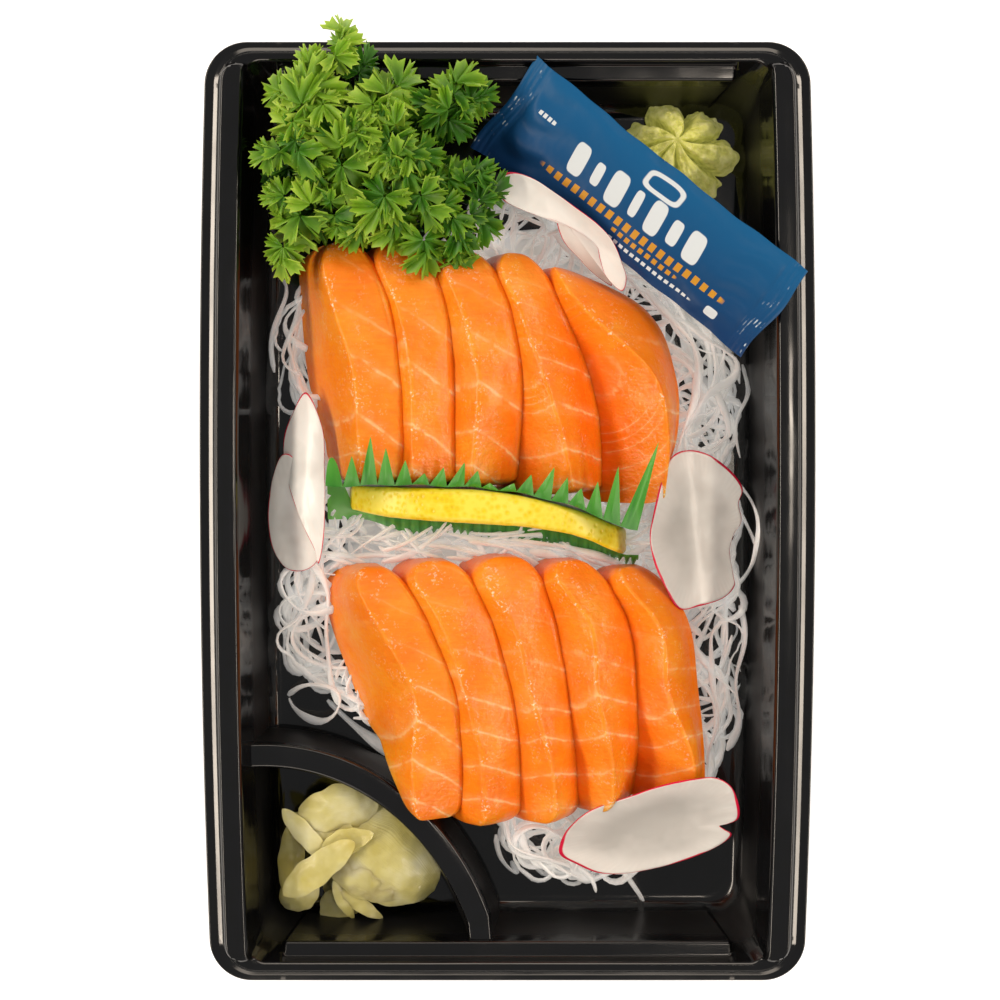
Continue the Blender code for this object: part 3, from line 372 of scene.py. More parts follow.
class Finish:
    """A material and its Principled shader, with short ways to add what most finishes here need."""

    def __init__(self, name, **constants):
        self.material = bpy.data.materials.new(name)
        self.material.use_nodes = True
        self.tree = self.material.node_tree
        self.shader = self.tree.nodes["Principled BSDF"]
        for key, value in constants.items():
            self.shader.inputs[key.replace("_", " ")].default_value = value
        self.place = add_node(self.tree, "ShaderNodeTexCoord").outputs["Object"]

    def maths(self, operation, a, b=0.0, c=0.0):
        return add_node(self.tree, "ShaderNodeMath", {0: a, 1: b, 2: c}, operation=operation).outputs[0]

    def attribute(self, name):
        return add_node(self.tree, "ShaderNodeAttribute", attribute_name=name).outputs["Fac"]

    def cloud(self, scale, detail=3.0, stretch=None):
        """Soft noise with scale waves a metre, drawn out by stretch."""
        vector = self.place
        if stretch:
            vector = add_node(self.tree, "ShaderNodeMapping", {"Vector": vector,
                                                               "Scale": stretch}).outputs[0]
        return add_node(self.tree, "ShaderNodeTexNoise", {"Vector": vector, "Scale": scale,
                                                          "Detail": detail}).outputs["Fac"]

    def band(self, value, low, high, smallest=0.0, largest=1.0):
        """Turns low..high softly to smallest..largest."""
        return add_node(self.tree, "ShaderNodeMapRange", {
            "Value": value, "From Min": low, "From Max": high, "To Min": smallest, "To Max": largest},
            interpolation_type="SMOOTHSTEP").outputs[0]

    def blend(self, factor, a, b):
        """Mixes two colours, each a socket, a hex code or a linear colour."""
        return add_node(self.tree, "ShaderNodeMix", {"Factor": factor, "A": as_linear(a),
                                                     "B": as_linear(b)},
                        data_type="RGBA").outputs["Result"]

    def ramp(self, factor, *stops):
        """A ramp through (position, colour) stops."""
        ramp = add_node(self.tree, "ShaderNodeValToRGB", {"Fac": factor})
        elements = ramp.color_ramp.elements
        while len(elements) < len(stops):
            elements.new(0.5)
        for element, (position, colour) in zip(elements, stops):
            element.position = position
            element.color = as_linear(colour)
        return ramp.outputs["Color"]

    def glow(self, colour, strength):
        """Painted light: a glow of this colour, which stands in for light carried through something
        see-through and lifts it out of its shade.
        """
        self.tree.links.new(colour, self.shader.inputs["Emission Color"])
        self.shader.inputs["Emission Strength"].default_value = strength

    def done(self, colour, height, strength, distance):
        """Links the colour and a bump of this height map, and returns the material."""
        self.tree.links.new(colour, self.shader.inputs["Base Color"])
        bump = add_node(self.tree, "ShaderNodeBump", {"Height": height, "Strength": strength,
                                                      "Distance": distance})
        for socket in ("Normal", "Coat Normal"):
            self.tree.links.new(bump.outputs["Normal"], self.shader.inputs[socket])
        return self.material


def smoothstep(low, high, value):
    t = min(max((value - low) / (high - low), 0.0), 1.0)
    return t * t * (3 - 2 * t)


def mix(a, b, t):
    return a + (b - a) * t


def between(before, start, end, after, t):
    """A Catmull-Rom curve from start, at t = 0, to end, at t = 1."""
    return 0.5 * (2 * start + (end - before) * t + (2 * before - 5 * start + 4 * end - after) * t ** 2
                  + (3 * start - before - 3 * end + after) * t ** 3)


def curve_through(values, t):
    """A smooth curve through values that are evenly spaced from t = 0 to t = 1."""
    place = min(max(t, 0.0), 1.0) * (len(values) - 1)
    index = min(int(place), len(values) - 2)
    return between(values[max(index - 1, 0)], values[index], values[index + 1],
                   values[min(index + 2, len(values) - 1)], place - index)


def closed_curve(points, steps):
    """A smooth closed curve through points, with that many steps between neighbouring points."""
    count = len(points)
    curve = []
    for index in range(count):
        four = [Vector(points[(index + k - 1) % count]) for k in range(4)]
        curve += [between(*four, step / steps) for step in range(steps)]
    return curve


def round_off(start, corner, end, t):
    """A curve that cuts a corner from start, at t = 0, to end, at t = 1."""
    return start * (1 - t) ** 2 + corner * 2 * t * (1 - t) + end * t * t


def add_object(name, data):
    """An object in the scene with this mesh, curve, lamp or camera."""
    obj = bpy.data.objects.new(name, data)
    bpy.context.scene.collection.objects.link(obj)
    return obj


def make_piece(name, points, faces, finish, attributes=(), crease=None):
    """A smooth mesh object at the origin, from points in millimetres. attributes holds one number a
    point, and edges that turn by more than crease degrees stay sharp."""
    mesh = bpy.data.meshes.new(name)
    mesh.from_pydata([Vector(point) * MM for point in points], [], faces)
    for label, values in dict(attributes).items():
        layer = mesh.attributes.new(label, "FLOAT", "POINT")
        layer.data.foreach_set("value", np.asarray(values, np.float32))
    mesh.polygons.foreach_set("use_smooth", [True] * len(mesh.polygons))
    if crease:
        mesh.set_sharp_from_angle(angle=math.radians(crease))
    mesh.materials.append(finish)
    return add_object(name, mesh)


def face_outwards(obj):
    """Turns the faces of a closed mesh outwards."""
    shape = bmesh.new()
    shape.from_mesh(obj.data)
    bmesh.ops.recalc_face_normals(shape, faces=shape.faces)
    if shape.calc_volume(signed=True) < 0:
        bmesh.ops.reverse_faces(shape, faces=shape.faces)
    shape.to_mesh(obj.data)
    shape.free()
    return obj


def settle(obj, slot, *nodes):
    """Attaches a finished piece to the root body and hides the solids that it stands for. The material
    slot is not used.
    """
    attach(obj, "root")
    if nodes:
        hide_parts(*nodes)
    return obj


def apply_modifiers(obj):
    graph = bpy.context.evaluated_depsgraph_get()
    baked = bpy.data.meshes.new_from_object(obj.evaluated_get(graph))
    obj.modifiers.clear()
    old = obj.data
    obj.data = baked
    bpy.data.meshes.remove(old)
    return obj


def loft(loops, closed_ends=True):
    """Faces that join loops of equal length, each with the next, and cap the first and the last."""
    count = len(loops[0])
    points = [point for loop in loops for point in loop]
    faces = []
    for row in range(len(loops) - 1):
        for k in range(count):
            after = (k + 1) % count
            faces.append((row * count + k, row * count + after,
                          (row + 1) * count + after, (row + 1) * count + k))
    if closed_ends:
        faces.append(tuple(reversed(range(count))))
        faces.append(tuple(range((len(loops) - 1) * count, len(loops) * count)))
    return points, faces


# ---------------------------------------------------------------- tray

def black_polystyrene(colour):
    """High-impact polystyrene sheet, thermoformed against a polished mould: near black, with a high
    gloss that carries the softest waves of the sheet and very faint handling haze, and duller on the
    walls, where the sheet was drawn out."""
    finish = Finish("black_polystyrene_thermoformed", IOR=1.55, Specular_IOR_Level=0.5)
    gloss = finish.band(finish.cloud(60.0), 0.35, 0.7, 0.1, 0.17)
    height = add_node(finish.tree, "ShaderNodeSeparateXYZ", {"Vector": finish.place}).outputs["Z"]
    drawn = finish.maths("MULTIPLY", finish.band(height, 0.002, 0.005),
                         finish.band(height, 0.014, 0.019, 1.0, 0.0))
    gloss = finish.maths("MULTIPLY_ADD", drawn, 0.24, gloss)
    finish.tree.links.new(gloss, finish.shader.inputs["Roughness"])
    shade = finish.blend(finish.band(finish.cloud(300.0), 0.4, 0.7), colour, "#0b0b0b")
    return finish.done(shade, finish.cloud(45.0, 1.0), 0.12, 0.002)


def half_width_at(y):
    return TRAY_HALF_WIDTH - TRAY_BOW * (y / TRAY_BOW_REACH) ** 2


def bar_share(inset, y, shorten):
    """1 on the raised bar along a long side and 0 beyond its half-round end."""
    aside = min(abs(inset - BAR_MIDDLE_INSET) / BAR_HALF_WIDTH, 1.0)
    end = BAR_END_Y - shorten - BAR_HALF_WIDTH * (1 - math.sqrt(1 - aside ** 2))
    return 1 - smoothstep(end - 1.6, end + 0.6, abs(y))


def tray_ring(ring, shorten=0.0):
    """One ring of the tray: its four sides, with the ledges in the middle of the two ends. On the
    underside the hollow of each bar is shorter than the bar."""
    inset_long, inset_end, ledge_inset, radius, z_long, z_end, z_ledge = ring
    half_length = TRAY_HALF_LENGTH - inset_end
    straight = half_length - radius
    end_width = half_width_at(straight) - inset_long - radius
    ledge_edge = min(LEDGE_HALF_WIDTH, end_width - LEDGE_END_RUN - 0.3)
    ledge_y = TRAY_HALF_LENGTH - ledge_inset
    side_steps, corner_steps, end_steps, ledge_end_steps, ledge_steps = 45, 17, 4, 8, 12
    quarter = []
    for k in range(side_steps + 1):
        y = straight * math.sin(math.pi / 2 * k / side_steps)
        z = mix(z_end, z_long, bar_share(inset_long, y, shorten))
        quarter.append((half_width_at(y) - inset_long, y, z))
    for k in range(1, corner_steps):
        angle = math.radians(90 * k / corner_steps)
        y = straight + radius * math.sin(angle)
        share = bar_share(inset_long, y, shorten) if k < corner_steps / 2 else 0.0
        quarter.append((end_width + radius * math.cos(angle), y, mix(z_end, z_long, share)))
    for k in range(end_steps + 1):
        quarter.append((mix(end_width, ledge_edge + LEDGE_END_RUN, k / end_steps), half_length, z_end))
    for k in range(1, ledge_end_steps + 1):
        t = k / ledge_end_steps
        drop = smoothstep(0, 1, t)
        quarter.append((ledge_edge + LEDGE_END_RUN * (1 - t), mix(half_length, ledge_y, drop),
                        mix(z_end, z_ledge, drop)))
    for k in range(1, ledge_steps + 1):
        quarter.append((ledge_edge * (1 - k / ledge_steps), ledge_y, z_ledge))
    top_right = quarter
    top_left = [(-x, y, z) for x, y, z in reversed(quarter)][1:]
    bottom_left = [(-x, -y, z) for x, y, z in quarter][1:]
    bottom_right = [(x, -y, z) for x, y, z in reversed(quarter)][1:-1]
    return top_right + top_left + bottom_left + bottom_right


def rounded_rings(keys, cuts, steps):
    """Rings between the key rings, with each key rounded off over its cut."""
    keys = [np.array(key, float) for key in keys]
    rings = [keys[0]]
    for before, here, after, cut in zip(keys, keys[1:], keys[2:], cuts):
        into = min(cut / max(np.linalg.norm((here - before)[[0, 4]]), 0.01), 0.48)
        out = min(cut / max(np.linalg.norm((after - here)[[0, 4]]), 0.01), 0.48)
        start, end = mix(here, before, into), mix(here, after, out)
        rings += [round_off(start, here, end, k / steps) for k in range(steps + 1)]
    rings.append(keys[-1])
    return rings


def underside_keys(keys, thickness):
    """The key rings moved down and inwards by the sheet's thickness."""
    keys = np.array(keys, float)
    moved = keys.copy()
    for inset, height in ((0, 4), (1, 5), (2, 6)):
        runs = np.diff(keys[:, [inset, height]], axis=0)
        lengths = np.maximum(np.linalg.norm(runs, axis=1, keepdims=True), 1e-6)
        normals = np.stack([runs[:, 1], -runs[:, 0]], axis=1) / lengths
        before = np.vstack([normals[:1], normals])
        after = np.vstack([normals, normals[-1:]])
        turn = before + after
        turn /= np.maximum((turn ** 2).sum(axis=1, keepdims=True) / 2, 1.0)
        moved[:, inset] += turn[:, 0] * thickness
        moved[:, height] += turn[:, 1] * thickness
    moved[:, 3] -= moved[:, 0] - keys[:, 0]
    return moved


def divider_solid(half_width, top_z, foot_z, wall_reach, rounding):
    """The curved divider round the ginger pocket, from wall to wall. Its sides run out to its foot,
    and its top is rounded off where rounding says so."""
    steps = 56
    loops = []
    for k in range(steps + 1):
        turn = math.radians(mix(-3.0, DIVIDER_END_TURN, k / steps))
        x = DIVIDER_CORNER[0] + DIVIDER_REACH[0] * math.sin(turn)
        y = DIVIDER_CORNER[1] - DIVIDER_REACH[1] * (1 - math.cos(turn))
        aside = Vector((DIVIDER_REACH[1] * math.sin(turn), DIVIDER_REACH[0] * math.cos(turn), 0))
        aside.normalize()
        side = [(half_width + DIVIDER_DRAFT * (top_z - foot_z), foot_z)]
        if rounding:
            side += [(half_width + DIVIDER_DRAFT * (top_z - 3.4), 3.4),
                     (half_width + DIVIDER_DRAFT * 8, top_z - 8)]
            for step in range(5):
                angle = math.radians(90 * step / 4)
                side.append((half_width + 0.2 - rounding * (1 - math.cos(angle)),
                             top_z - rounding * (1 - math.sin(angle))))
            side.append((half_width * 0.4, top_z + 0.12))
        else:
            side.append((half_width, top_z))
        outline = [(-reach, z) for reach, z in side] + [(reach, z) for reach, z in reversed(side)]
        loop = []
        for reach, z in outline:
            px, py = x + aside.x * reach, y + aside.y * reach
            if k == 0:
                px = -(half_width_at(py) - WALL_FOOT_INSET + (z - WALL_FOOT_Z) * DIVIDER_SIDE_LEAN
                       + wall_reach)
            if k == steps:
                py = -(TRAY_HALF_LENGTH - WALL_END_FOOT_INSET
                       + (z - WALL_FOOT_Z) * DIVIDER_END_LEAN + wall_reach)
            loop.append((px, py, z))
        loops.append(loop)
    return loft(loops)


def build_tray(settings):
    finish = black_polystyrene(settings.plastic_colour)
    above = rounded_rings(TRAY_KEYS, TRAY_CUTS, 4)
    below = underside_keys(TRAY_KEYS, settings.sheet_thickness)
    loops = [tray_ring(ring) for ring in above] + [tray_ring(ring, BAR_HOLLOW_SHORTER)
                                                 for ring in reversed(below)]
    points, faces = loft(loops, closed_ends=False)
    count = len(loops[0])
    last = len(points) - count
    faces += [(last + k, last + (k + 1) % count, (k + 1) % count, k) for k in range(count)]
    inner = len(above) - 1
    del faces[inner * count:(inner + 1) * count]
    faces.append(tuple(range(inner * count, (inner + 1) * count)))
    faces.append(tuple(reversed(range((inner + 1) * count, (inner + 2) * count))))
    tray = face_outwards(make_piece("tray_shell", points, faces, finish))
    ridge = make_piece("divider_form", *divider_solid(DIVIDER_HALF_WIDTH, DIVIDER_Z, SHEET / 2,
                                                      SHEET / 2, 0.9), finish)
    hollow = make_piece("divider_hollow", *divider_solid(DIVIDER_HALF_WIDTH - SHEET, DIVIDER_Z - SHEET,
                                                         -1.5, -0.8, 0.0), finish)
    for operation, tool in (("UNION", face_outwards(ridge)), ("DIFFERENCE", face_outwards(hollow))):
        step = tray.modifiers.new(operation.title(), "BOOLEAN")
        step.operation = operation
        step.object = tool
        step.solver = "MANIFOLD"
    apply_modifiers(tray)
    for tool in (ridge, hollow):
        bpy.data.objects.remove(tool, do_unlink=True)
    tray.data.polygons.foreach_set("use_smooth", [True] * len(tray.data.polygons))
    tray.data.set_sharp_from_angle(angle=math.radians(TRAY_CREASE))
    tray.modifiers.new("Flat faces lead", "WEIGHTED_NORMAL").keep_sharp = True
    apply_modifiers(tray)
    return settle(tray, "black_plastic", "tray")


# ---------------------------------------------------------------- salmon

def raw_salmon(settings):
    """Raw Atlantic salmon, sliced with a wet knife: translucent orange flesh, redder in painted shade
    deep in the seams between slices, with pale fat lines between the flakes, a fine cross grain and
    painted highlights, wet sparkles, on its ridges."""
    finish = Finish("salmon_flesh_knife_cut", Roughness=0.36, IOR=1.36, Subsurface_Weight=0.55,
                    Subsurface_Radius=(1.0, 0.38, 0.1), Subsurface_Scale=0.005,
                    Coat_Weight=0.2, Coat_Roughness=0.14, Coat_IOR=1.33)
    maths, band, cloud = finish.maths, finish.band, finish.cloud
    # the ridge attribute says where painted highlights of wet sparkles go: along the ridges and over
    # the domed backs
    ridge = finish.attribute("ridge")
    # a fat line runs wherever the phase, a little wandering, is a whole number
    shifted = maths("MULTIPLY_ADD", maths("SUBTRACT", cloud(150.0), 0.5), 0.22,
                    finish.attribute("fat_phase"))
    distance = maths("PINGPONG", shifted, 0.5)
    line = band(distance, 0.0, settings.fat_line_width, 0.85, 0.0)
    halo = band(distance, 0.0, settings.fat_line_width * 4, 0.2, 0.0)
    fat = maths("MULTIPLY", maths("MULTIPLY", maths("MAXIMUM", line, halo),
                                  finish.attribute("fat_strength")),
                band(cloud(300.0, 2.0), 0.32, 0.6, 0.2, 1.0))
    # fine cross grain of the muscle fibres, about 0.7 mm apart
    grain = cloud(1300.0, 4.0, (0.2, 1.0, 0.4))
    flesh = finish.ramp(maths("MULTIPLY_ADD", grain, 0.4, cloud(75.0)),
                        (0.45, settings.flesh_deep), (0.7, settings.flesh_colour),
                        (0.95, settings.flesh_pale))
    # painted shade: the flesh turns deep red-orange where the depth attribute says it lies far below
    # the crest, in the seams
    sunk = finish.blend(maths("MULTIPLY", finish.attribute("depth"), 0.8), flesh, "#f4700e")
    lined = finish.blend(fat, sunk, settings.fat_colour)
    # painted highlights: near-white specks of wet sparkles in the base colour
    glint = maths("MULTIPLY", maths("MULTIPLY", band(cloud(1500.0), 0.56, 0.63),
                                    band(cloud(240.0, 2.0), 0.46, 0.6, 0.0, 0.7)),
                  ridge)
    whole = finish.blend(glint, lined, "#fff2df")
    return finish.done(whole, maths("MULTIPLY_ADD", grain, 0.6, cloud(700.0, 2.0)), 0.35, 0.0006)


def row_edges(row, k, t):
    """At one station along a slice: the seam to its left, its ridge, and the seam to its right."""
    left = curve_through(row["seams"][k], t)
    ridge = left + curve_through(row["strips"][k], t)
    right = curve_through(row["seams"][k + 1], t)
    return left, ridge, right


def crest_z(row, k, t):
    """Height of a slice's ridge, which droops towards its two ends."""
    return (row["crests"][k] - 2.4 * (1 - smoothstep(0.0, 0.24, t))
            - row["front_droops"][k] * smoothstep(0.6, 1.0, t))


def seam_z(row, k, t):
    """Height of the seam to the left of slice k: the wider the strip beyond it, the deeper it lies."""
    if k == 0:
        return SLICE_FOOT_Z + 4.5
    if k == len(row["backs"]):
        return row["outer_edge_z"]
    return crest_z(row, k, t) - 2.2 - 0.55 * curve_through(row["strips"][k], t)


def slice_section(row, k, t):
    """The corners of slice k across its length: a leaning slab with a crisp upper ridge."""
    left, ridge, right = row_edges(row, k, t)
    crest = crest_z(row, k, t)
    foot = SLICE_FOOT_Z + row["perched_fronts"][k] * smoothstep(0.62, 0.84, t)
    left_z, right_z = max(seam_z(row, k, t), foot + 0.8), seam_z(row, k + 1, t)
    lean_left = 5.5 if k else 2.5
    lean_right = 5.5 if k < 4 else 1.5
    side = SLICE_SIDE_GAP
    return [
        (left - lean_left * (left_z - foot) / (left_z - SLICE_FOOT_Z) + side, foot),
        (left + side, left_z),
        (mix(left, ridge, 0.55) + side, mix(left_z, crest, 0.62)),
        (ridge, crest + 0.35),
        (mix(ridge, right, 0.5), mix(crest, right_z, 0.33)),
        (right - 0.9 - side, right_z + 0.7),
        (right - side, right_z - 0.6),
        (right - lean_right * (right_z - foot) / (right_z - SLICE_FOOT_Z) - side, foot),
    ]


def rounded_section(corners):
    """The section's outline, with a fixed number of points on each corner and each run, and how far
    each point is across: below 0 on the broad cut face, 0 on the ridge, above 0 on the thick side."""
    count = len(corners)
    outline = []
    across = []

    def cut(k, towards):
        """Where the rounding of corner k ends on its way to the next corner or the one before."""
        here, there = Vector(corners[k % count]), Vector(corners[towards % count])
        return mix(here, there, min(SECTION_CUTS[k % count] / max((there - here).length, 0.01), 0.46))

    for k in range(count):
        start, end, stop = cut(k, k - 1), cut(k, k + 1), cut(k + 1, k)
        for step in range(5):
            t = step / 4
            outline.append(round_off(start, Vector(corners[k]), end, t))
            across.append(k - SECTION_RIDGE + (t - 0.5) * 0.4)
        for step in range(1, SECTION_RUNS[k] + 1):
            t = step / (SECTION_RUNS[k] + 1)
            outline.append(mix(end, stop, t))
            across.append(k - SECTION_RIDGE + 0.2 + 0.6 * t)
    return outline, across


def fat_phase(row, k, x, y, across, ridge_at, centre, arcs):
    """Which fat line a point is on. Lines are arcs round a centre on the broad cut face, meet the
    ridge at the slice's marks, and slant on down the thick side."""
    marks = row["marks"][k]
    if across <= 0:
        reach = math.hypot(x - centre[0], (y - centre[1]) * 0.9)
        phase = float(np.interp(reach, [radius for radius, _ in arcs], [index for _, index in arcs]))
        return phase - max(reach - arcs[-1][0], 0.0) / 8.0 + max(arcs[0][0] - reach, 0.0) / 30.0
    aside = max(x - ridge_at(y), 0.0)
    meets = y + row["slants"][k] * aside * (0.8 + 0.02 * aside)
    return float(np.interp(meets, marks, range(len(marks)))
                 + max(meets - marks[-1], 0.0) / (marks[-1] - marks[-2])
                 - max(marks[0] - meets, 0.0) / (marks[1] - marks[0]))


def slice_stations(row, k):
    """Places along slice k, closer together towards its rounded ends."""
    back, front = row["backs"][k], row["fronts"][k]
    ends = [1 - math.cos(math.radians(90 * n / 9)) for n in range(10)]
    first, last = back - SLICE_BACK_ROUND, front + row["front_round"]
    inner = [mix(first, last, n / 45) for n in range(1, 45)]
    return ([back - SLICE_BACK_ROUND * r for r in ends] + inner
            + [front + row["front_round"] * r for r in reversed(ends)])


def slice_piece(row, k):
    """Points, faces and attributes of one slice, with the soft unevenness of cut flesh."""
    row_back, row_front = max(row["backs"]), min(row["fronts"])
    back, front = row["backs"][k], row["fronts"][k]

    def at(y):
        return (row_back - y) / (row_back - row_front)

    def ridge_at(y):
        return row_edges(row, k, at(y))[1]

    middle_y = mix(back, front, 0.46)
    left, ridge, _ = row_edges(row, k, at(middle_y))
    centre = (mix(left, ridge, 0.2), middle_y)
    arcs = [(radius, len(row["marks"][k]) + n) for n, radius in enumerate(row["small_arcs"][k])]
    for index, mark in enumerate(row["marks"][k]):
        if mark < middle_y - 2:
            arcs.append((math.hypot(ridge_at(mark) - centre[0], (mark - middle_y) * 0.9), index))
    arcs.sort()
    loops = []
    looks = []
    for y in slice_stations(row, k):
        section = slice_section(row, k, at(y))
        outline, across = rounded_section(section)
        low_x, high_x = min(x for x, _ in section), max(x for x, _ in section)
        behind, ahead = (back - y) / SLICE_BACK_ROUND, (y - front) / row["front_round"]
        middle_x = mix(low_x, high_x, 0.66 if behind < ahead else 0.4)
        crest = max(z for _, z in section)
        middle_z = mix(section[0][1], crest, 0.45)
        full = math.sqrt(max(1 - (1 - min(behind, ahead, 1)) ** 2, 0.0))
        shrink, high_shrink = mix(0.2 if behind < ahead else 0.5, 1.0, full), mix(0.62, 1.0, full)
        loop = []
        t = (back - y) / (back - front)
        for (x, z), side in zip(outline, across):
            px, pz = mix(middle_x, x, shrink), mix(middle_z, z, high_shrink)
            uneven = noise.noise(Vector((px * 0.11 + 7 * k, y * 0.09, pz * 0.11)))
            ripple = noise.noise(Vector((px * 0.35, y * 0.3, pz * 0.35 + 3 * k)))
            lift = 0.7 * uneven + 0.3 * ripple if -2.6 < side < 1.8 else 0.0
            loop.append((px, y, pz + lift))
            strength = mix(0.22, 1.0, smoothstep(0.2, 0.6, t)) * (0.7 if side < 0 else 1.0)
            # wet marks the domed back end, where painted highlights of wet sparkles go as well
            wet = max(0.5 * (1 - smoothstep(0.04, 0.25, t)), 0.2) if -1.2 < side < 1.2 else 0.0
            # depth is painted shade: it grows with the drop below the crest, is weaker on the thick
            # side and faint on the first slice's broad face
            depth = (smoothstep(1.5, 8.0, crest - pz) * (1.0 if side < 0 else 0.8)
                     * (0.15 if k == 0 and side < 0 else 1.0))
            looks.append((fat_phase(row, k, px, y, side, ridge_at, centre, arcs), strength,
                          max(1 - abs(side) / 0.65, wet), depth))
        loops.append(loop)
    return *loft(loops), dict(zip(("fat_phase", "fat_strength", "ridge", "depth"), zip(*looks)))


def build_salmon(settings):
    finish = raw_salmon(settings)
    for side, row in (("upper", UPPER_ROW), ("lower", LOWER_ROW)):
        for k in range(len(row["backs"])):
            points, faces, looks = slice_piece(row, k)
            made = make_piece(f"salmon_slice_{side}_{k + 1}", points, faces, finish, looks)
            settle(face_outwards(made), "salmon", f"salmon_{side}_{k + 1}")


# ---------------------------------------------------------------- geometry nodes

def geometry_tree(name, inputs):
    """A geometry node tree with one geometry in, one out, and these named inputs."""
    tree = bpy.data.node_groups.new(name, "GeometryNodeTree")
    tree.interface.new_socket("Geometry", in_out="OUTPUT", socket_type="NodeSocketGeometry")
    tree.interface.new_socket("Geometry", in_out="INPUT", socket_type="NodeSocketGeometry")
    for label, kind in inputs.items():
        tree.interface.new_socket(label, in_out="INPUT", socket_type=kind)
    return tree, add_node(tree, "NodeGroupInput"), add_node(tree, "NodeGroupOutput")


def run_geometry_tree(obj, tree, values, name):
    """Runs a tree on an object with these input values, and returns the result as a plain mesh."""
    modifier = obj.modifiers.new("Shape", "NODES")
    modifier.node_group = tree
    for item in tree.interface.items_tree:
        if item.in_out == "INPUT" and item.name in values:
            modifier[item.identifier] = values[item.name]
    graph = bpy.context.evaluated_depsgraph_get()
    mesh = bpy.data.meshes.new_from_object(obj.evaluated_get(graph))
    made = add_object(name, mesh)
    bpy.data.objects.remove(obj, do_unlink=True)
    return made


def end_tree(tree, geometry, given, result):
    """Ends a tree with this geometry as a plain mesh in the given finish."""
    real = add_node(tree, "GeometryNodeRealizeInstances", {"Geometry": geometry})
    coat = add_node(tree, "GeometryNodeSetMaterial", {"Geometry": real.outputs[0],
                                                      "Material": given.outputs["Finish"]})
    tree.links.new(coat.outputs[0], result.inputs[0])
    return tree


def noodle_tree():
    """Sweeps a flattened round section along every curve, with the curve's own radius."""
    tree, given, result = geometry_tree("noodles_along_paths", {
        "Width": "NodeSocketFloat", "Flatness": "NodeSocketFloat", "Sides": "NodeSocketInt",
        "Finish": "NodeSocketMaterial"})
    circle = add_node(tree, "GeometryNodeCurvePrimitiveCircle", {"Resolution": given.outputs["Sides"],
                                                                 "Radius": given.outputs["Width"]})
    scale = add_node(tree, "ShaderNodeCombineXYZ", {"X": 1.0, "Y": given.outputs["Flatness"], "Z": 1.0})
    flat = add_node(tree, "GeometryNodeTransform", {"Geometry": circle.outputs["Curve"],
                                                    "Scale": scale.outputs[0]})
    thickness = add_node(tree, "GeometryNodeInputRadius")
    swept = add_node(tree, "GeometryNodeCurveToMesh", {
        "Curve": given.outputs["Geometry"], "Profile Curve": flat.outputs["Geometry"],
        "Fill Caps": True, "Scale": thickness.outputs[0]})
    smooth = add_node(tree, "GeometryNodeSetShadeSmooth", {"Geometry": swept.outputs["Mesh"]})
    return end_tree(tree, smooth.outputs[0], given, result)


def scatter_tree():
    """Puts one leaflet on every point, turned and sized by the point's own attributes."""
    tree, given, result = geometry_tree("leaflets_on_points", {
        "Leaflet": "NodeSocketObject", "Size": "NodeSocketFloat", "Finish": "NodeSocketMaterial"})
    leaflet = add_node(tree, "GeometryNodeObjectInfo", {"Object": given.outputs["Leaflet"]})
    turn = add_node(tree, "GeometryNodeInputNamedAttribute", {"Name": "turn"}, data_type="FLOAT_VECTOR")
    share = add_node(tree, "GeometryNodeInputNamedAttribute", {"Name": "share"}, data_type="FLOAT")
    size = add_node(tree, "ShaderNodeMath", {0: share.outputs["Attribute"], 1: given.outputs["Size"]},
                    operation="MULTIPLY")
    placed = add_node(tree, "GeometryNodeInstanceOnPoints", {
        "Points": given.outputs["Geometry"], "Instance": leaflet.outputs["Geometry"],
        "Rotation": turn.outputs["Attribute"], "Scale": size.outputs[0]})
    return end_tree(tree, placed.outputs[0], given, result)


# ---------------------------------------------------------------- daikon noodles

def shredded_daikon():
    """Daikon shredded into long flat threads and rinsed: wet, glassy, greyish white, with the
    threads' fibres running along them."""
    finish = Finish("daikon_threads_rinsed", Roughness=0.28, IOR=1.36, Subsurface_Weight=0.8,
                    Subsurface_Radius=(1.0, 0.95, 0.88), Subsurface_Scale=0.006, Coat_Weight=0.3,
                    Coat_Roughness=0.12)
    colour = finish.ramp(finish.cloud(140.0), (0.3, "#ece8e2"), (0.5, "#f7f5f1"), (0.7, "#fdfcfa"))
    # painted light: a faint glow for light carried along the wet threads, which also lifts the shade
    # between them
    finish.glow(colour, 0.12)
    return finish.done(colour, finish.cloud(900.0), 0.25, 0.0005)


def under_food(x, y):
    """Whether a place on the bed lies under the salmon or the lemon."""
    for row in (UPPER_ROW, LOWER_ROW):
        back, front = max(row["backs"]), min(row["fronts"])
        if front - 1 < y < back - 1.5:
            t = (back - y) / (back - front)
            if (curve_through(row["seams"][0], t) - 0.5 < x
                    < curve_through(row["seams"][5], t) + 0.5):
                return True
    return LEMON_ENDS[0] < x < LEMON_ENDS[1] and abs(y - lemon_middle(x)[0]) < 5.0


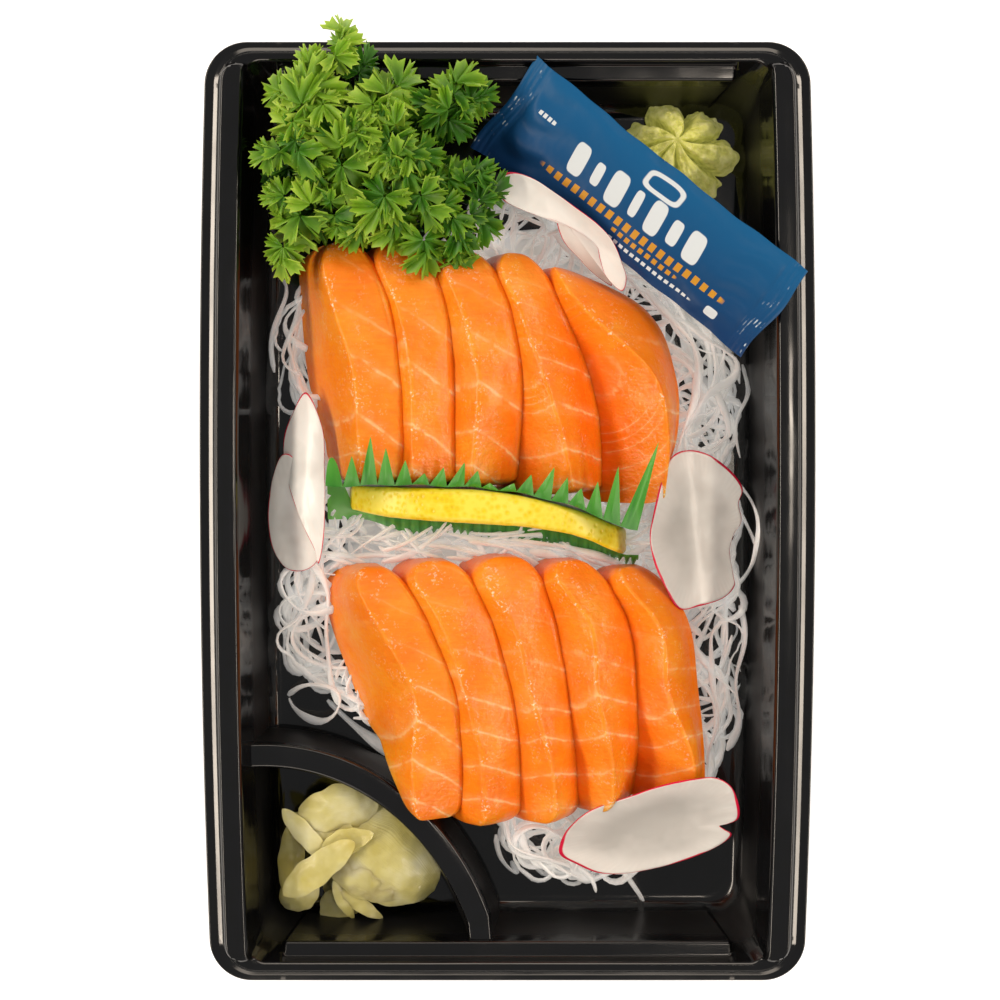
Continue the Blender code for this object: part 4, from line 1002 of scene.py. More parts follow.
class BedMap:
    """A square grid over the tray's floor: how high the bed is so far, and how far in from the
    bed's outline each place lies."""

    def __init__(self, reach_x, reach_y, pitch, outline):
        self.pitch = pitch
        self.corner = (-reach_x, -reach_y)
        xs = np.arange(-reach_x, reach_x, pitch)
        ys = np.arange(-reach_y, reach_y, pitch)
        self.heights = np.full((len(xs), len(ys)), SHEET)
        px, py = np.meshgrid(xs, ys, indexing="ij")
        line = np.array([(point.x, point.y) for point in outline])
        self.inside = np.full(px.shape, 1e9)
        crossings = np.zeros(px.shape, int)
        for (ax, ay), (bx, by) in zip(line, np.roll(line, -1, axis=0)):
            self.inside = np.minimum(self.inside, np.hypot(px - ax, py - ay))
            if ay != by:
                crosses = ((ay > py) != (by > py)) & (px < (bx - ax) * (py - ay) / (by - ay) + ax)
                crossings += crosses
        self.inside = np.where(crossings % 2 == 1, self.inside, -self.inside)
        self.inward = np.gradient(self.inside, pitch)

    def cell(self, x, y):
        i = int(round((x - self.corner[0]) / self.pitch))
        j = int(round((y - self.corner[1]) / self.pitch))
        return min(max(i, 1), self.heights.shape[0] - 2), min(max(j, 1), self.heights.shape[1] - 2)

    def pile(self, x, y, z):
        i, j = self.cell(x, y)
        patch = self.heights[i - 1:i + 2, j - 1:j + 2]
        np.maximum(patch, z, out=patch)


def lay_noodle(track, radius, bed, rng):
    """Drops a noodle along a flat track onto what already lies there, as stiff as a thread is."""
    raw = []
    for x, y in track:
        z = bed.heights[bed.cell(x, y)] + radius * rng.uniform(0.4, 0.9)
        under_radish = (x > 40 and -26 < y < 18) or (x > 12 and y < -64)
        wall_z = WALL_FOOT_Z + WALL_SLOPE * (abs(x) - half_width_at(y) + WALL_FOOT_INSET)
        top = (NOODLE_TOP_UNDER_FOOD if under_food(x, y)
               else NOODLE_TOP_UNDER_RADISH if under_radish else NOODLE_TOP)
        raw.append(max(min(z, top), wall_z))
    heights = []
    for k in range(len(raw)):
        near = range(max(k - 5, 0), min(k + 6, len(raw)))
        heights.append(max(raw[n] - 0.45 * abs(n - k) * NOODLE_STEP for n in near))
    smooth = []
    for k in range(len(heights)):
        near = heights[max(k - 2, 0):k + 3]
        smooth.append(sum(near) / len(near))
    for (x, y), z in zip(track, smooth):
        bed.pile(x, y, z + radius * 0.35)
    return [Vector((x, y, z)) for (x, y), z in zip(track, smooth)]


def noodle_track(start, heading, steps, curl, bed, rng):
    """A flat track that wanders in curls and turns back where it nears the edge of the bed."""
    x, y = start
    phases = [rng.uniform(0, math.tau) for _ in range(3)]
    pitches = (rng.uniform(0.05, 0.1), rng.uniform(0.14, 0.24), rng.uniform(0.5, 0.8))
    side = rng.choice((-1.0, 1.0))
    track = []
    for k in range(steps):
        track.append((x, y))
        cell = bed.cell(x, y)
        turn = curl * (math.sin(phases[0] + k * pitches[0]) + 0.8 * math.sin(phases[1] + k * pitches[1])
                       + 0.5 * math.sin(phases[2] + k * pitches[2]))
        near = 1 - smoothstep(0.5, 7.0, bed.inside[cell])
        if near > 0:
            inward = math.atan2(bed.inward[1][cell], bed.inward[0][cell])
            away = (inward - heading + math.pi) % math.tau - math.pi
            if abs(away) > 1.35:
                turn = mix(turn, 0.42 * (1 if away > 0 else -1) if abs(away) < 2.9 else 0.42 * side,
                           near)
        heading += turn
        x += NOODLE_STEP * math.cos(heading)
        y += NOODLE_STEP * math.sin(heading)
    return track


def noodle_curves(paths, radii):
    """A curve object with one spline for each path."""
    curve = bpy.data.curves.new("noodle_paths", "CURVE")
    curve.dimensions = "3D"
    for path, radius in zip(paths, radii):
        spline = curve.splines.new("POLY")
        spline.points.add(len(path) - 1)
        for index, (point, place) in enumerate(zip(spline.points, path)):
            point.co = (*(place * MM), 1.0)
            swell = 1 + 0.22 * math.sin(index * 0.45 + radius * 90)
            point.radius = radius * (0.45 if index in (0, len(path) - 1) else swell)
            point.tilt = 1.4 * math.sin(index * 0.16 + radius * 70)
    return add_object("noodle_paths", curve)


def smoothed(points, steps=5):
    """An open curve past these flat points, in even small steps, with its corners rounded."""
    xs = [point[0] for point in points]
    ys = [point[1] for point in points]
    count = steps * (len(points) - 1)
    track = np.array([(curve_through(xs, k / count), curve_through(ys, k / count))
                      for k in range(count + 1)])
    for _ in range(8):
        track[1:-1] = (track[:-2] + 2 * track[1:-1] + track[2:]) / 4
    return [(float(x), float(y)) for x, y in track]


def build_noodles(settings):
    finish = shredded_daikon()
    rng = random.Random(11)
    outline = closed_curve(BED_OUTLINE, 12)
    bed = BedMap(72.0, 116.0, 0.8, outline)
    # the bed starts out raised under the food, and as a low bank between the two rows
    for i, j in np.argwhere(bed.inside > 0):
        x, y = bed.corner[0] + i * bed.pitch, bed.corner[1] + j * bed.pitch
        if under_food(x, y):
            bed.heights[i, j] = 4.6
        elif -18 < y < 2:
            bed.heights[i, j] = min(3.5 + 0.4 * bed.inside[i, j], 6.5)
    paths = []
    radii = []

    def lay(track, radius):
        paths.append(lay_noodle(track, NOODLE_RADIUS * radius, bed, rng))
        radii.append(radius)

    while len(paths) < settings.noodle_count:
        x, y = rng.uniform(-62, 64), rng.uniform(-98, 84)
        inside = bed.inside[bed.cell(x, y)]
        middle = -24 < y < -2
        if inside < 1.0 or (under_food(x, y) and rng.random() < 0.85):
            continue
        if inside > 15 and not middle and rng.random() < 0.7:
            continue
        flow = math.atan2(-bed.inward[0][bed.cell(x, y)], bed.inward[1][bed.cell(x, y)])
        if middle and inside > 8:
            flow = rng.uniform(-0.5, 0.3)
        heading = flow + rng.gauss(0, 0.55) + rng.choice((0, math.pi))
        track = noodle_track((x, y), heading, rng.randrange(18, 70), rng.uniform(0.08, 0.2), bed, rng)
        lay(track, rng.uniform(0.6, 1.08))
    for _ in range(70):
        start = (rng.uniform(-50, 24), rng.uniform(-15, -2))
        track = noodle_track(start, rng.gauss(-0.12, 0.4), rng.randrange(14, 36), 0.05, bed, rng)
        lay(track, rng.uniform(0.6, 1.0))
    for thick, points in LOOSE_NOODLES:
        lay(smoothed(points), thick)
    for part in range(2):
        curves = noodle_curves(paths[part::2], radii[part::2])
        noodles = run_geometry_tree(curves, noodle_tree(), {
            "Width": NOODLE_RADIUS * MM, "Flatness": 0.45, "Sides": 6, "Finish": finish},
            f"daikon_threads_{part + 1}")
        settle(noodles, "daikon", *(("daikon_noodles",) if part == 0 else ()))
    loops = []
    for scale, z in ((0.74, SHEET + 0.1), (0.76, 1.6), (0.7, 2.8), (0.55, 3.4)):
        loop = []
        for index, point in enumerate(outline[::2]):
            middle = Vector((0.0, min(max(point.y * 0.6, -55.0), 45.0)))
            uneven = 0.05 * math.sin(index * 1.1) + 0.03 * math.sin(index * 2.7)
            here = middle + (point - middle) * (scale + uneven)
            loop.append((here.x, here.y, z))
        loops.append(loop)
    heart = face_outwards(make_piece("daikon_heart", *loft(loops), finish))
    settle(heart, "daikon")


# ---------------------------------------------------------------- lemon and grass

def lemon_rind():
    """A thick slice of lemon: waxy rind with sunken oil pores, white pith under it, and flesh in
    segments between thin skins on the cut faces."""
    finish = Finish("lemon_slice_fresh", Roughness=0.36, IOR=1.4, Subsurface_Weight=0.2,
                    Subsurface_Radius=(1.0, 0.7, 0.2), Subsurface_Scale=0.002, Coat_Weight=0.2,
                    Coat_Roughness=0.25)
    maths, band = finish.maths, finish.band
    radial = finish.attribute("radial")
    pores = add_node(finish.tree, "ShaderNodeTexVoronoi", {"Vector": finish.place,
                                                           "Scale": 620.0}).outputs["Distance"]
    rind = finish.ramp(maths("MULTIPLY_ADD", pores, 0.5, finish.cloud(110.0)),
                       (0.4, "#e2c20c"), (0.6, "#f0d420"), (0.85, "#f8e450"))
    skins = maths("PINGPONG", finish.attribute("sector"), 0.5)
    flesh = finish.blend(band(skins, 0.03, 0.08), "#f6efc8", "#ecd65a")
    inner = finish.blend(band(radial, 0.8, 0.84), flesh, "#f3edc9")
    whole = finish.blend(band(radial, 0.955, 0.975), inner, rind)
    return finish.done(whole, band(pores, 0.0, 0.45), 0.35, 0.0004)


def lemon_middle(x):
    """The lemon's middle line, and half its thickness, at this place across the tray."""
    t = (x - LEMON_ENDS[0]) / (LEMON_ENDS[1] - LEMON_ENDS[0])
    return curve_through(LEMON_MIDDLES, t), curve_through(LEMON_HALVES, t)


def build_lemon():
    """A half slice of lemon that stands on its cut edge, rind upwards."""
    loops = []
    radial = []
    sector = []
    steps = 72
    for k in range(steps + 1):
        angle = math.pi * (0.012 + 0.976 * k / steps)
        along = -math.cos(angle)
        height = max(LEMON_HEIGHT * math.sin(angle) ** 0.8, 0.8)
        x_here = mix(*LEMON_ENDS, (along + 1) / 2)
        middle, half = lemon_middle(x_here)
        half *= min(0.5 + 1.5 * math.sin(angle) ** 0.8, 1.0) * (1 + 0.03 * math.sin(5 * angle))
        side = [(half * (1 - 0.06 * math.sin(math.pi * n / 9)), n / 9 * (height - 0.5 * half))
                for n in range(10)]
        for n in range(1, 8):
            turn = math.radians(90 * n / 7)
            side.append((half * (0.55 + 0.45 * math.cos(turn)),
                         height - 0.5 * half * (1 - math.sin(turn))))
        outline = [(-x, z) for x, z in side] + [(x, z) for x, z in reversed(side)]
        loop = []
        for x, z in outline:
            bumpy = 0.12 * noise.noise(Vector((along * 12, x * 0.5, z * 0.4)))
            loop.append((x_here, middle + x + bumpy, LEMON_FOOT_Z + z))
            reach = math.hypot(along, z / LEMON_HEIGHT)
            rim = (height - z) < 0.5 * half + 0.3
            edge = abs(x) > half * 0.99 and rim
            radial.append(0.93 if edge else (1.0 if rim else min(reach, 0.95)))
            sector.append(9 * math.atan2(z / LEMON_HEIGHT, along) / math.pi + 0.2)
        loops.append(loop)
    lemon = make_piece("lemon_half_slice", *loft(loops), lemon_rind(),
                       {"radial": radial, "sector": sector})
    settle(face_outwards(lemon), "lemon_peel", "lemon")


def grass_film(name, thin, deep):
    """Divider grass, punched from thin dyed polypropylene film: glossy, streaked along its blades, and
    painted with light and shade: paler where the rise attribute says it is lit, darker in its shade."""
    finish = Finish(name, Roughness=0.3, IOR=1.49, Subsurface_Weight=0.35,
                    Subsurface_Radius=(0.3, 1.0, 0.2), Subsurface_Scale=0.002)
    streaks = finish.cloud(500.0, 2.0, (1.0, 0.12, 0.12))
    tone = finish.maths("MULTIPLY_ADD", streaks, 0.5, finish.attribute("rise"))
    # thin is the painted lit colour and deep the painted shaded colour
    return finish.done(finish.ramp(tone, (0.15, deep), (1.0, thin)), streaks, 0.25, 0.0005)


def sheet_piece(name, rows, columns, place, thickness, finish, label):
    """A thin closed sheet. place(row, column) gives a point of its middle surface, in millimetres,
    and the value there of the attribute with this label."""
    spots = [place(row, column) for row in range(rows) for column in range(columns)]
    grid = np.array([point for point, _ in spots], float).reshape(rows, columns, 3)
    normals = np.cross(np.gradient(grid, axis=0), np.gradient(grid, axis=1))
    normals /= np.maximum(np.linalg.norm(normals, axis=2, keepdims=True), 1e-9)
    points = np.concatenate([(grid + normals * thickness / 2).reshape(-1, 3),
                             (grid - normals * thickness / 2).reshape(-1, 3)])
    below = rows * columns
    faces = []
    for i in range(rows - 1):
        for j in range(columns - 1):
            a, b = i * columns + j, i * columns + j + 1
            c, d = b + columns, a + columns
            faces += [(a, b, c, d), (below + a, below + d, below + c, below + b)]
    rim = ([j for j in range(columns)] + [i * columns + columns - 1 for i in range(1, rows)]
           + [(rows - 1) * columns + j for j in range(columns - 2, -1, -1)]
           + [i * columns for i in range(rows - 2, 0, -1)])
    for k, here in enumerate(rim):
        there = rim[(k + 1) % len(rim)]
        faces.append((there, here, below + here, below + there))
    values = [value for _, value in spots] * 2
    return face_outwards(make_piece(name, points.tolist(), faces, finish, {label: values}, crease=50))


def standing_grass(row, column):
    """A point of the standing sheet, upright behind the lemon and then bent back over the fish, and
    how pale it is painted there: paler towards the tips that bend back, in painted shade on the upright
    part."""
    level = GRASS_LEVELS[row]
    blades = len(GRASS_TIPS)
    position = column / (blades * GRASS_BLADE_STEPS)
    index = min(int(position * blades), blades - 1)
    within = 2 * (position * blades - index) - 1
    x = mix(*GRASS_ENDS, position)
    tip_x, length = GRASS_TIPS[index]
    share = max(level, 0.0) * (1 - abs(within) ** (2.4 if index == 0 else 1.1))
    lean = (tip_x - mix(*GRASS_ENDS, (index + 0.5) / blades)) * share
    over = length * share
    middle, half = lemon_middle(x)
    y = middle + half + 0.7 + 0.2 * math.sin(x * 0.5) + 0.92 * over
    fold = 0.55 * (1 - abs(within)) * min(share * 4, 1.0)
    curl = 2.5 * share * share if index == 0 else 0.0
    z = GRASS_BEND_Z + min(level, 0.0) + 0.38 * over + fold + curl + 0.4 * math.sin(x * 0.7) * share
    # painted shade along a crease in every third blade
    crease = 0.3 * (1 - smoothstep(0.0, 0.25, abs(within + 0.35))) if index % 3 == 2 else 0.0
    return (x + lean, y, z), max(0.25 + 0.6 * share - crease, 0.0) if level > 0 else 0.15


def lying_grass(row, column):
    """A point of the lying sheet, from the lemon's foot out to its toothed edge, and how pale it is
    painted there, which is painted light and shade."""
    level, position = row / (GRASS_FRONT_ROWS - 1), column / (GRASS_FRONT_COLUMNS - 1)
    x = mix(*GRASS_FRONT_ENDS, position)
    middle, half = lemon_middle(x)
    beside = 1 - smoothstep(-42.5, -38.5, x)
    inner = middle + mix(-half - 0.2, 3.6, beside)
    teeth = (1.0 if column % 4 == 1 else 0.3 if column % 4 == 2 else -0.4) * mix(0.5, 1.3, position)
    outer = curve_through(GRASS_FRONT_EDGE, position) - teeth * smoothstep(0.15, 0.3, position)
    ripple = 0.5 * math.sin(x * 0.42) + 0.35 * math.sin(x * 1.1 + 1)
    droop = 2.6 * level * level
    # painted light and shade: paler on the left flap, towards the outer edge and at the right end, and
    # lighter and darker over the folds
    folds = 0.18 * math.sin(x * 2.3) + 0.12 * math.sin(x * 5.1)
    pale = (mix(0.05, 0.85, 1 - smoothstep(-40.0, -28.0, x)) + 0.25 * level * level
            + folds * (0.4 + 0.6 * level) + 0.2 * smoothstep(0.75, 0.95, position))
    return (x, mix(inner, outer, level), 12.4 + 1.5 * beside - droop + ripple * level), pale


def build_grass():
    # the lying sheet's film is a painted lit copy of the standing sheet's, with lighter colours
    for name, rows, columns, place, thin, deep in (
            ("back", len(GRASS_LEVELS), len(GRASS_TIPS) * GRASS_BLADE_STEPS + 1, standing_grass,
             "#57a637", "#1f7020"),
            ("front", GRASS_FRONT_ROWS, GRASS_FRONT_COLUMNS, lying_grass, "#6cb45a", "#256b1e")):
        film = grass_film("divider_grass_film" + ("_lit" if name == "front" else ""), thin, deep)
        sheet = sheet_piece("grass_sheet_" + name, rows, columns, place, GRASS_THICKNESS, film, "rise")
        settle(sheet, "green_plastic", "grass_" + name)


# ---------------------------------------------------------------- radish

def radish_flesh():
    """Red radish cut thin: glassy white flesh, greyer where the dark tray shows through, with faint
    rays near the rim, a crimson skin that shows as a line round the cut, and painted shade in the
    tone that makes the slices away from the light greyer."""
    finish = Finish("radish_slice_crisp", Roughness=0.27, IOR=1.36, Subsurface_Weight=0.4,
                    Subsurface_Radius=(1.0, 0.8, 0.75), Subsurface_Scale=0.002, Coat_Weight=0.2,
                    Coat_Roughness=0.12)
    radial = finish.attribute("radial")
    mottle = finish.maths("MULTIPLY_ADD", finish.attribute("rays"), 0.05, finish.cloud(60.0))
    mottle = finish.maths("ADD", mottle, finish.attribute("tone"))
    flesh = finish.ramp(mottle, (0.2, "#b4b1ad"), (0.45, "#cfccc8"), (0.65, "#efedea"))
    pale = finish.maths("MULTIPLY", finish.band(radial, 0.5, 0.93), 0.6)
    rim = finish.blend(pale, flesh, "#e6e2de")
    skin_from = finish.band(finish.cloud(90.0, 1.0), 0.4, 0.62, 0.975, 0.955)
    skin = finish.band(finish.maths("SUBTRACT", radial, skin_from), 0.0, 0.012)
    whole = finish.blend(skin, rim, "#d1123f")
    return finish.done(whole, mottle, 0.2, 0.0005)


def radish_slice(name, shape, finish):
    """A thin slice with this outline, which lies on a slope and is bent along one line."""
    outline = closed_curve([Vector((x, y, 0.0)) for x, y in shape["outline"]], 8)
    sides, rings = len(outline), 20
    middle = sum(outline, Vector()) / sides
    fold = math.radians(shape["fold_turn"])
    across_fold = Vector((-math.sin(fold), math.cos(fold), 0.0))
    shares = [(ring / (rings - 1)) ** 0.8 for ring in range(rings)]
    loops = []
    radial = []
    rays = []
    # from the middle of the top out to the rim, where side is 0, and back in below
    for share, side in ([(share, 1) for share in shares] + [(1.0, 0)]
                        + [(share, -1) for share in reversed(shares)]):
        r = max(share * 0.992, 0.001) if side else 1.0
        loop = []
        for k, corner in enumerate(outline):
            flat = middle.lerp(corner, r)
            away = (flat - middle).dot(across_fold)
            z = (shape["middle_z"] + (flat.x - middle.x) * shape["slope"][0]
                 + (flat.y - middle.y) * shape["slope"][1])
            z += shape["fold"] * away * away / (10 if away > 0 else 30)
            z += 0.35 * noise.noise(flat * 0.12) * r + 0.12 * noise.noise(flat * 0.5) * r * r
            loop.append((flat.x, flat.y, z + side * RADISH_THICKNESS / 2))
            radial.append(1.0 if side == 0 else 0.985 if share == 1.0 else min(share, 0.95))
            ray = math.sin(72 * k / sides * math.tau) * smoothstep(0.7, 0.9, share)
            rays.append(ray if side else 0.0)
        loops.append(loop)
    # a lower tone than RADISH_TONE is painted shade
    tone = [shape.get("tone", RADISH_TONE)] * len(radial)
    return face_outwards(make_piece(name, *loft(loops), finish,
                                    {"radial": radial, "rays": rays, "tone": tone}))


def build_radish():
    finish = radish_flesh()
    for name, shape in RADISH_SLICES.items():
        settle(radish_slice(name + "_slice", shape, finish), "radish", name)


# ---------------------------------------------------------------- soy sauce sachet

def packet_point(u, v, side):
    """A point of the sachet's skin, with u and v from -1 to 1 and side +1 above or -1 below."""
    length, width = PACKET_SIZE[0] / 2, PACKET_SIZE[1] / 2
    turn = math.radians(PACKET_TURN)
    along = Vector((math.cos(turn), math.sin(turn), 0.0))
    across = Vector((-math.sin(turn), math.cos(turn), 0.0))
    rise = (PACKET_END_Z[1] - PACKET_END_Z[0]) / PACKET_SIZE[0]
    tilt = mix(*PACKET_END_TILTS, (u + 1) / 2)
    upward = (Vector((0, 0, 1)) - along * rise - across * tilt).normalized()
    fill = max(1 - (abs(u) / 0.88) ** 2.6, 0.0) ** 0.6 * max(1 - (abs(v) / 0.97) ** 2, 0.0) ** 0.7
    pull_in = 1 - 0.05 * max(1 - u * u, 0.0) + 0.012 * math.sin(u * 9 + v) + 0.008 * math.sin(u * 23)
    thick = 0.16 + PACKET_BULGE * fill * (1.0 if side > 0 else 0.8)
    wavy_end = 0.6 * math.sin(v * 4 + 1) * smoothstep(0.8, 1.0, abs(u))
    middle = along * (u * length + wavy_end) + across * v * width * pull_in
    height = mix(*PACKET_END_Z, (u + 1) / 2) + v * width * tilt
    end = smoothstep(0.35, 0.84, abs(u)) * (1 - smoothstep(0.86, 0.93, abs(u)))
    edge = smoothstep(0.3, 0.9, abs(v)) * (1 - smoothstep(0.9, 1.0, abs(v)))
    creases = (0.8 * end * math.sin(v * 10 + 2 * u + math.sin(u * 14))
               + 0.6 * edge * math.sin(u * 15 + 1.6 * math.sin(u * 5) + v * 3)
               + 0.9 * noise.noise(Vector((u * 3.1, v * 1.4, 5.2 * side))))
    crimp = 0.14 * math.sin(u * 190) * smoothstep(0.885, 0.9, abs(u))
    curl = 0.7 * math.sin(v * 5 + 0.6) * smoothstep(0.9, 1.0, abs(u))
    return (Vector((*PACKET_CENTRE, height)) + middle
            + upward * ((thick + creases * min(thick, 1.3) * 0.5) * side + crimp + curl))


def sachet_film(settings):
    """Printed laminate film: glossy blue, deeper towards one long edge, with a plain printed pattern
    of pale bars, a badge and dashed orange lines, and painted highlights, pale dashes, on the crimps at
    its ends."""
    finish = Finish("sachet_film_printed", Roughness=0.4, IOR=1.4, Specular_IOR_Level=0.25)
    maths, band = finish.maths, finish.band
    u, v, face = [finish.attribute(name) for name in ("along", "across", "face")]

    def block(centre, half, slant=0.0):
        """1 inside a rounded bar of the print, 0 outside it."""
        du = maths("ABSOLUTE", maths("SUBTRACT", maths("MULTIPLY_ADD", v, slant, u), centre[0]))
        dv = maths("ABSOLUTE", maths("SUBTRACT", v, centre[1]))
        du, dv = maths("DIVIDE", du, half[0]), maths("DIVIDE", dv, half[1])
        far = maths("ADD", maths("POWER", du, 4.0), maths("POWER", dv, 4.0))
        return band(far, 0.85, 1.15, 1.0, 0.0)

    def dashes(centre, half, rate, share):
        """A line of even dashes."""
        on = maths("LESS_THAN", maths("FRACT", maths("MULTIPLY", u, rate)), share)
        return maths("MULTIPLY", block(centre, half), on)

    depth = maths("MULTIPLY_ADD", finish.cloud(30.0, 1.0), 0.3, v)
    blue = finish.ramp(maths("MULTIPLY_ADD", depth, 0.5, 0.5),
                       (0.1, settings.film_dark), (1.0, settings.film_blue))
    white = maths("SUBTRACT", block((0.05, 0.6), (0.13, 0.2)), block((0.05, 0.6), (0.1, 0.12)))
    for k, half in enumerate(PACKET_BARS):
        white = maths("MAXIMUM", white, block((-0.44 + PACKET_BAR_PITCH * k, 0.06), half, 0.05))
    white = maths("MAXIMUM", white, dashes((0.2, -0.78), (0.36, 0.035), 24.0, 0.65))
    white = maths("MAXIMUM", white, dashes((-0.74, 0.3), (0.07, 0.04), 30.0, 0.7))
    white = maths("MAXIMUM", white, block((0.7, -0.72), (0.04, 0.09)))
    orange = maths("MAXIMUM", dashes((0.06, -0.42), (0.66, 0.085), 16.0, 0.6),
                   dashes((0.18, -0.61), (0.24, 0.05), 20.0, 0.6))
    inked = finish.blend(maths("MULTIPLY", orange, face), blue, "#c98f30")
    printed = finish.blend(maths("MULTIPLY", white, face), inked, "#d4dce2")
    # painted highlights: pale dashes along the crimp ridges at both ends
    worn = maths("MULTIPLY", band(maths("ABSOLUTE", u), 0.86, 0.96),
                 band(finish.cloud(330.0, 4.0), 0.58, 0.7))
    crimp = maths("LESS_THAN", maths("FRACT", maths("MULTIPLY", u, 46.0)), 0.34)
    worn = maths("MULTIPLY", worn, crimp)
    return finish.done(finish.blend(worn, printed, "#c3d3de"), finish.cloud(170.0, 2.0), 0.3, 0.0011)


def build_packet(settings):
    rows, columns = 44, 200
    loops = []
    skin = []
    for j in range(columns + 1):
        u = -1 + 2 * j / columns
        ring = [(u, -1 + 2 * i / rows, 1) for i in range(rows + 1)]
        ring += [(u, 1 - 2 * i / rows, -1) for i in range(rows + 1)]
        loops.append([packet_point(*point) for point in ring])
        skin += ring
    along, across, face = zip(*skin)
    sachet = make_piece("soy_sachet", *loft(loops), sachet_film(settings),
                        {"along": along, "across": across, "face": np.maximum(face, 0)}, crease=60)
    settle(face_outwards(sachet), "blue_film", "soy_packet")


# ---------------------------------------------------------------- wasabi and ginger

def wasabi_paste():
    """Piped wasabi paste: dull olive green, grainy with grated root, a little moist, with painted shade
    in the hollows between its lobes and a painted glow that lifts it out of the shade.
    """
    finish = Finish("wasabi_paste", Roughness=0.8, IOR=1.3, Subsurface_Weight=0.6,
                    Subsurface_Radius=(0.9, 1.0, 0.5), Subsurface_Scale=0.004)
    grain = finish.cloud(480.0, 5.0)
    # painted shade: darker in the hollows between the lobes
    colour = finish.ramp(finish.maths("MULTIPLY_ADD", finish.attribute("groove"), -0.22, grain),
                         (0.15, "#a3a44a"), (0.42, "#d2d070"), (0.68, "#e6e292"))
    # painted light: a glow that lifts the paste out of the shade of the tray's walls and the sachet
    finish.glow(colour, 0.2)
    return finish.done(colour, grain, 0.8, 0.0014)


def build_wasabi():
    """A rosette from a star nozzle: ruffled lobes, and a star of thin ridges round its middle."""
    sides, rings = WASABI_LOBES * 28, 30
    loops = []
    groove = []
    for ring in range(rings + 1):
        r = 1.0 if ring < 2 else 1 - (ring - 1) / (rings - 0.4)
        loop = []
        for k in range(sides):
            angle = math.tau * k / sides
            twisted = angle + 0.35 * (1 - r)
            lobe = abs(math.cos(WASABI_LOBES / 2 * twisted)) ** 0.3
            uneven = 1 + 0.07 * math.sin(2 * angle + 0.6) + 0.06 * math.sin(3 * angle + 2)
            outer = (0.62 + 0.4 * lobe) * uneven
            spot = Vector((math.cos(angle), math.sin(angle), r))
            outer *= 1 + 0.1 * noise.noise(spot * 3.5) + 0.07 * noise.noise(spot * 9)
            between = max(-math.cos(WASABI_LOBES * twisted), 0.0) ** 2.5
            hollow = smoothstep(0.03, 0.2, r) * (1 - smoothstep(0.75, 1.0, r)) * between
            height = (1 - r ** 3) ** 0.7 * (0.85 if ring else 0.0) - 0.3 * hollow
            height += 0.14 * max(1 - r / 0.4, 0.0)
            flat = Vector((r * math.cos(angle), r * math.sin(angle), 1.0))
            ripple = 0.09 * noise.noise(flat * 5) + 0.05 * noise.noise(flat * 13)
            reach = r * outer * (0.9 if ring == 0 else 1.0)
            loop.append((WASABI_CENTRE[0] + WASABI_RADII[0] * reach * math.cos(angle),
                         WASABI_CENTRE[1] + WASABI_PEAK_SHIFT * (1 - r)
                         + WASABI_RADII[1] * reach * math.sin(angle),
                         SHEET + 0.1 + WASABI_HEIGHT * max(height + ripple, 0.0)
                         + (2.2 if ring == 1 else 0.0)))
            # how much painted shade each point gets: in the hollows round the middle and between the
            # lobes
            groove.append(hollow + (1 - lobe) * smoothstep(0.5, 1.0, r))
        loops.append(loop)
    paste = make_piece("wasabi_rosette", *loft(loops), wasabi_paste(), {"groove": groove})
    settle(face_outwards(paste), "wasabi", "wasabi")


def pickled_ginger():
    """Pickled ginger sliced paper thin: wet, pale yellow and translucent, with fibres across it."""
    finish = Finish("ginger_slices_pickled", Roughness=0.25, IOR=1.38, Subsurface_Weight=0.5,
                    Subsurface_Radius=(1.0, 0.9, 0.4), Subsurface_Scale=0.004, Coat_Weight=0.6,
                    Coat_Roughness=0.1)
    colour = finish.ramp(finish.cloud(95.0), (0.3, "#c6b660"), (0.5, "#dfd284"), (0.72, "#efe7ac"))
    lines = add_node(finish.tree, "ShaderNodeTexNoise", {"W": finish.attribute("fibre"), "Scale": 30.0,
                                                         "Detail": 3.0},
                     noise_dimensions="1D").outputs["Fac"]
    return finish.done(colour, lines, 0.3, 0.0005)


def ginger_slice(place, size, turn, bend, tip_down, pointed, finish, rng):
    """A thin oval slice of ginger, bent down at its rim and one end, and kept above the pocket's floor.
    """
    phase = rng.uniform(0, math.tau)
    turn = math.radians(turn)
    rows, columns = 33, 41

    def at(row, column):
        v, u = 2 * row / (rows - 1) - 1, 2 * column / (columns - 1) - 1
        half = size[1] * (max(1 - u * u, 0.0) ** pointed + 0.02)
        half *= 1 + 0.08 * math.sin(3 * u + phase) + 0.04 * math.sin(11 * u + phase + v)
        x, y = u * size[0], v * half
        reach = (u * u + 0.8 * v * v * (half / size[1]) ** 2)
        z = place[2] - bend * reach - tip_down * max(u, 0.0) ** 2
        z += 0.8 * noise.noise(Vector((x * 0.16, y * 0.16, phase))) * (0.4 + reach)
        z += 0.35 * noise.noise(Vector((x * 0.4, y * 0.4, phase)))
        return (place[0] + x * math.cos(turn) - y * math.sin(turn),
                place[1] + x * math.sin(turn) + y * math.cos(turn), max(z, GINGER_FOOT_Z)), v

    return sheet_piece("ginger_slice", rows, columns, at, GINGER_THICKNESS, finish, "fibre")


def join_pieces(name, pieces):
    """One object made of several, which share one finish."""
    with bpy.context.temp_override(active_object=pieces[0], selected_editable_objects=pieces):
        bpy.ops.object.join()
    pieces[0].name = name
    return pieces[0]


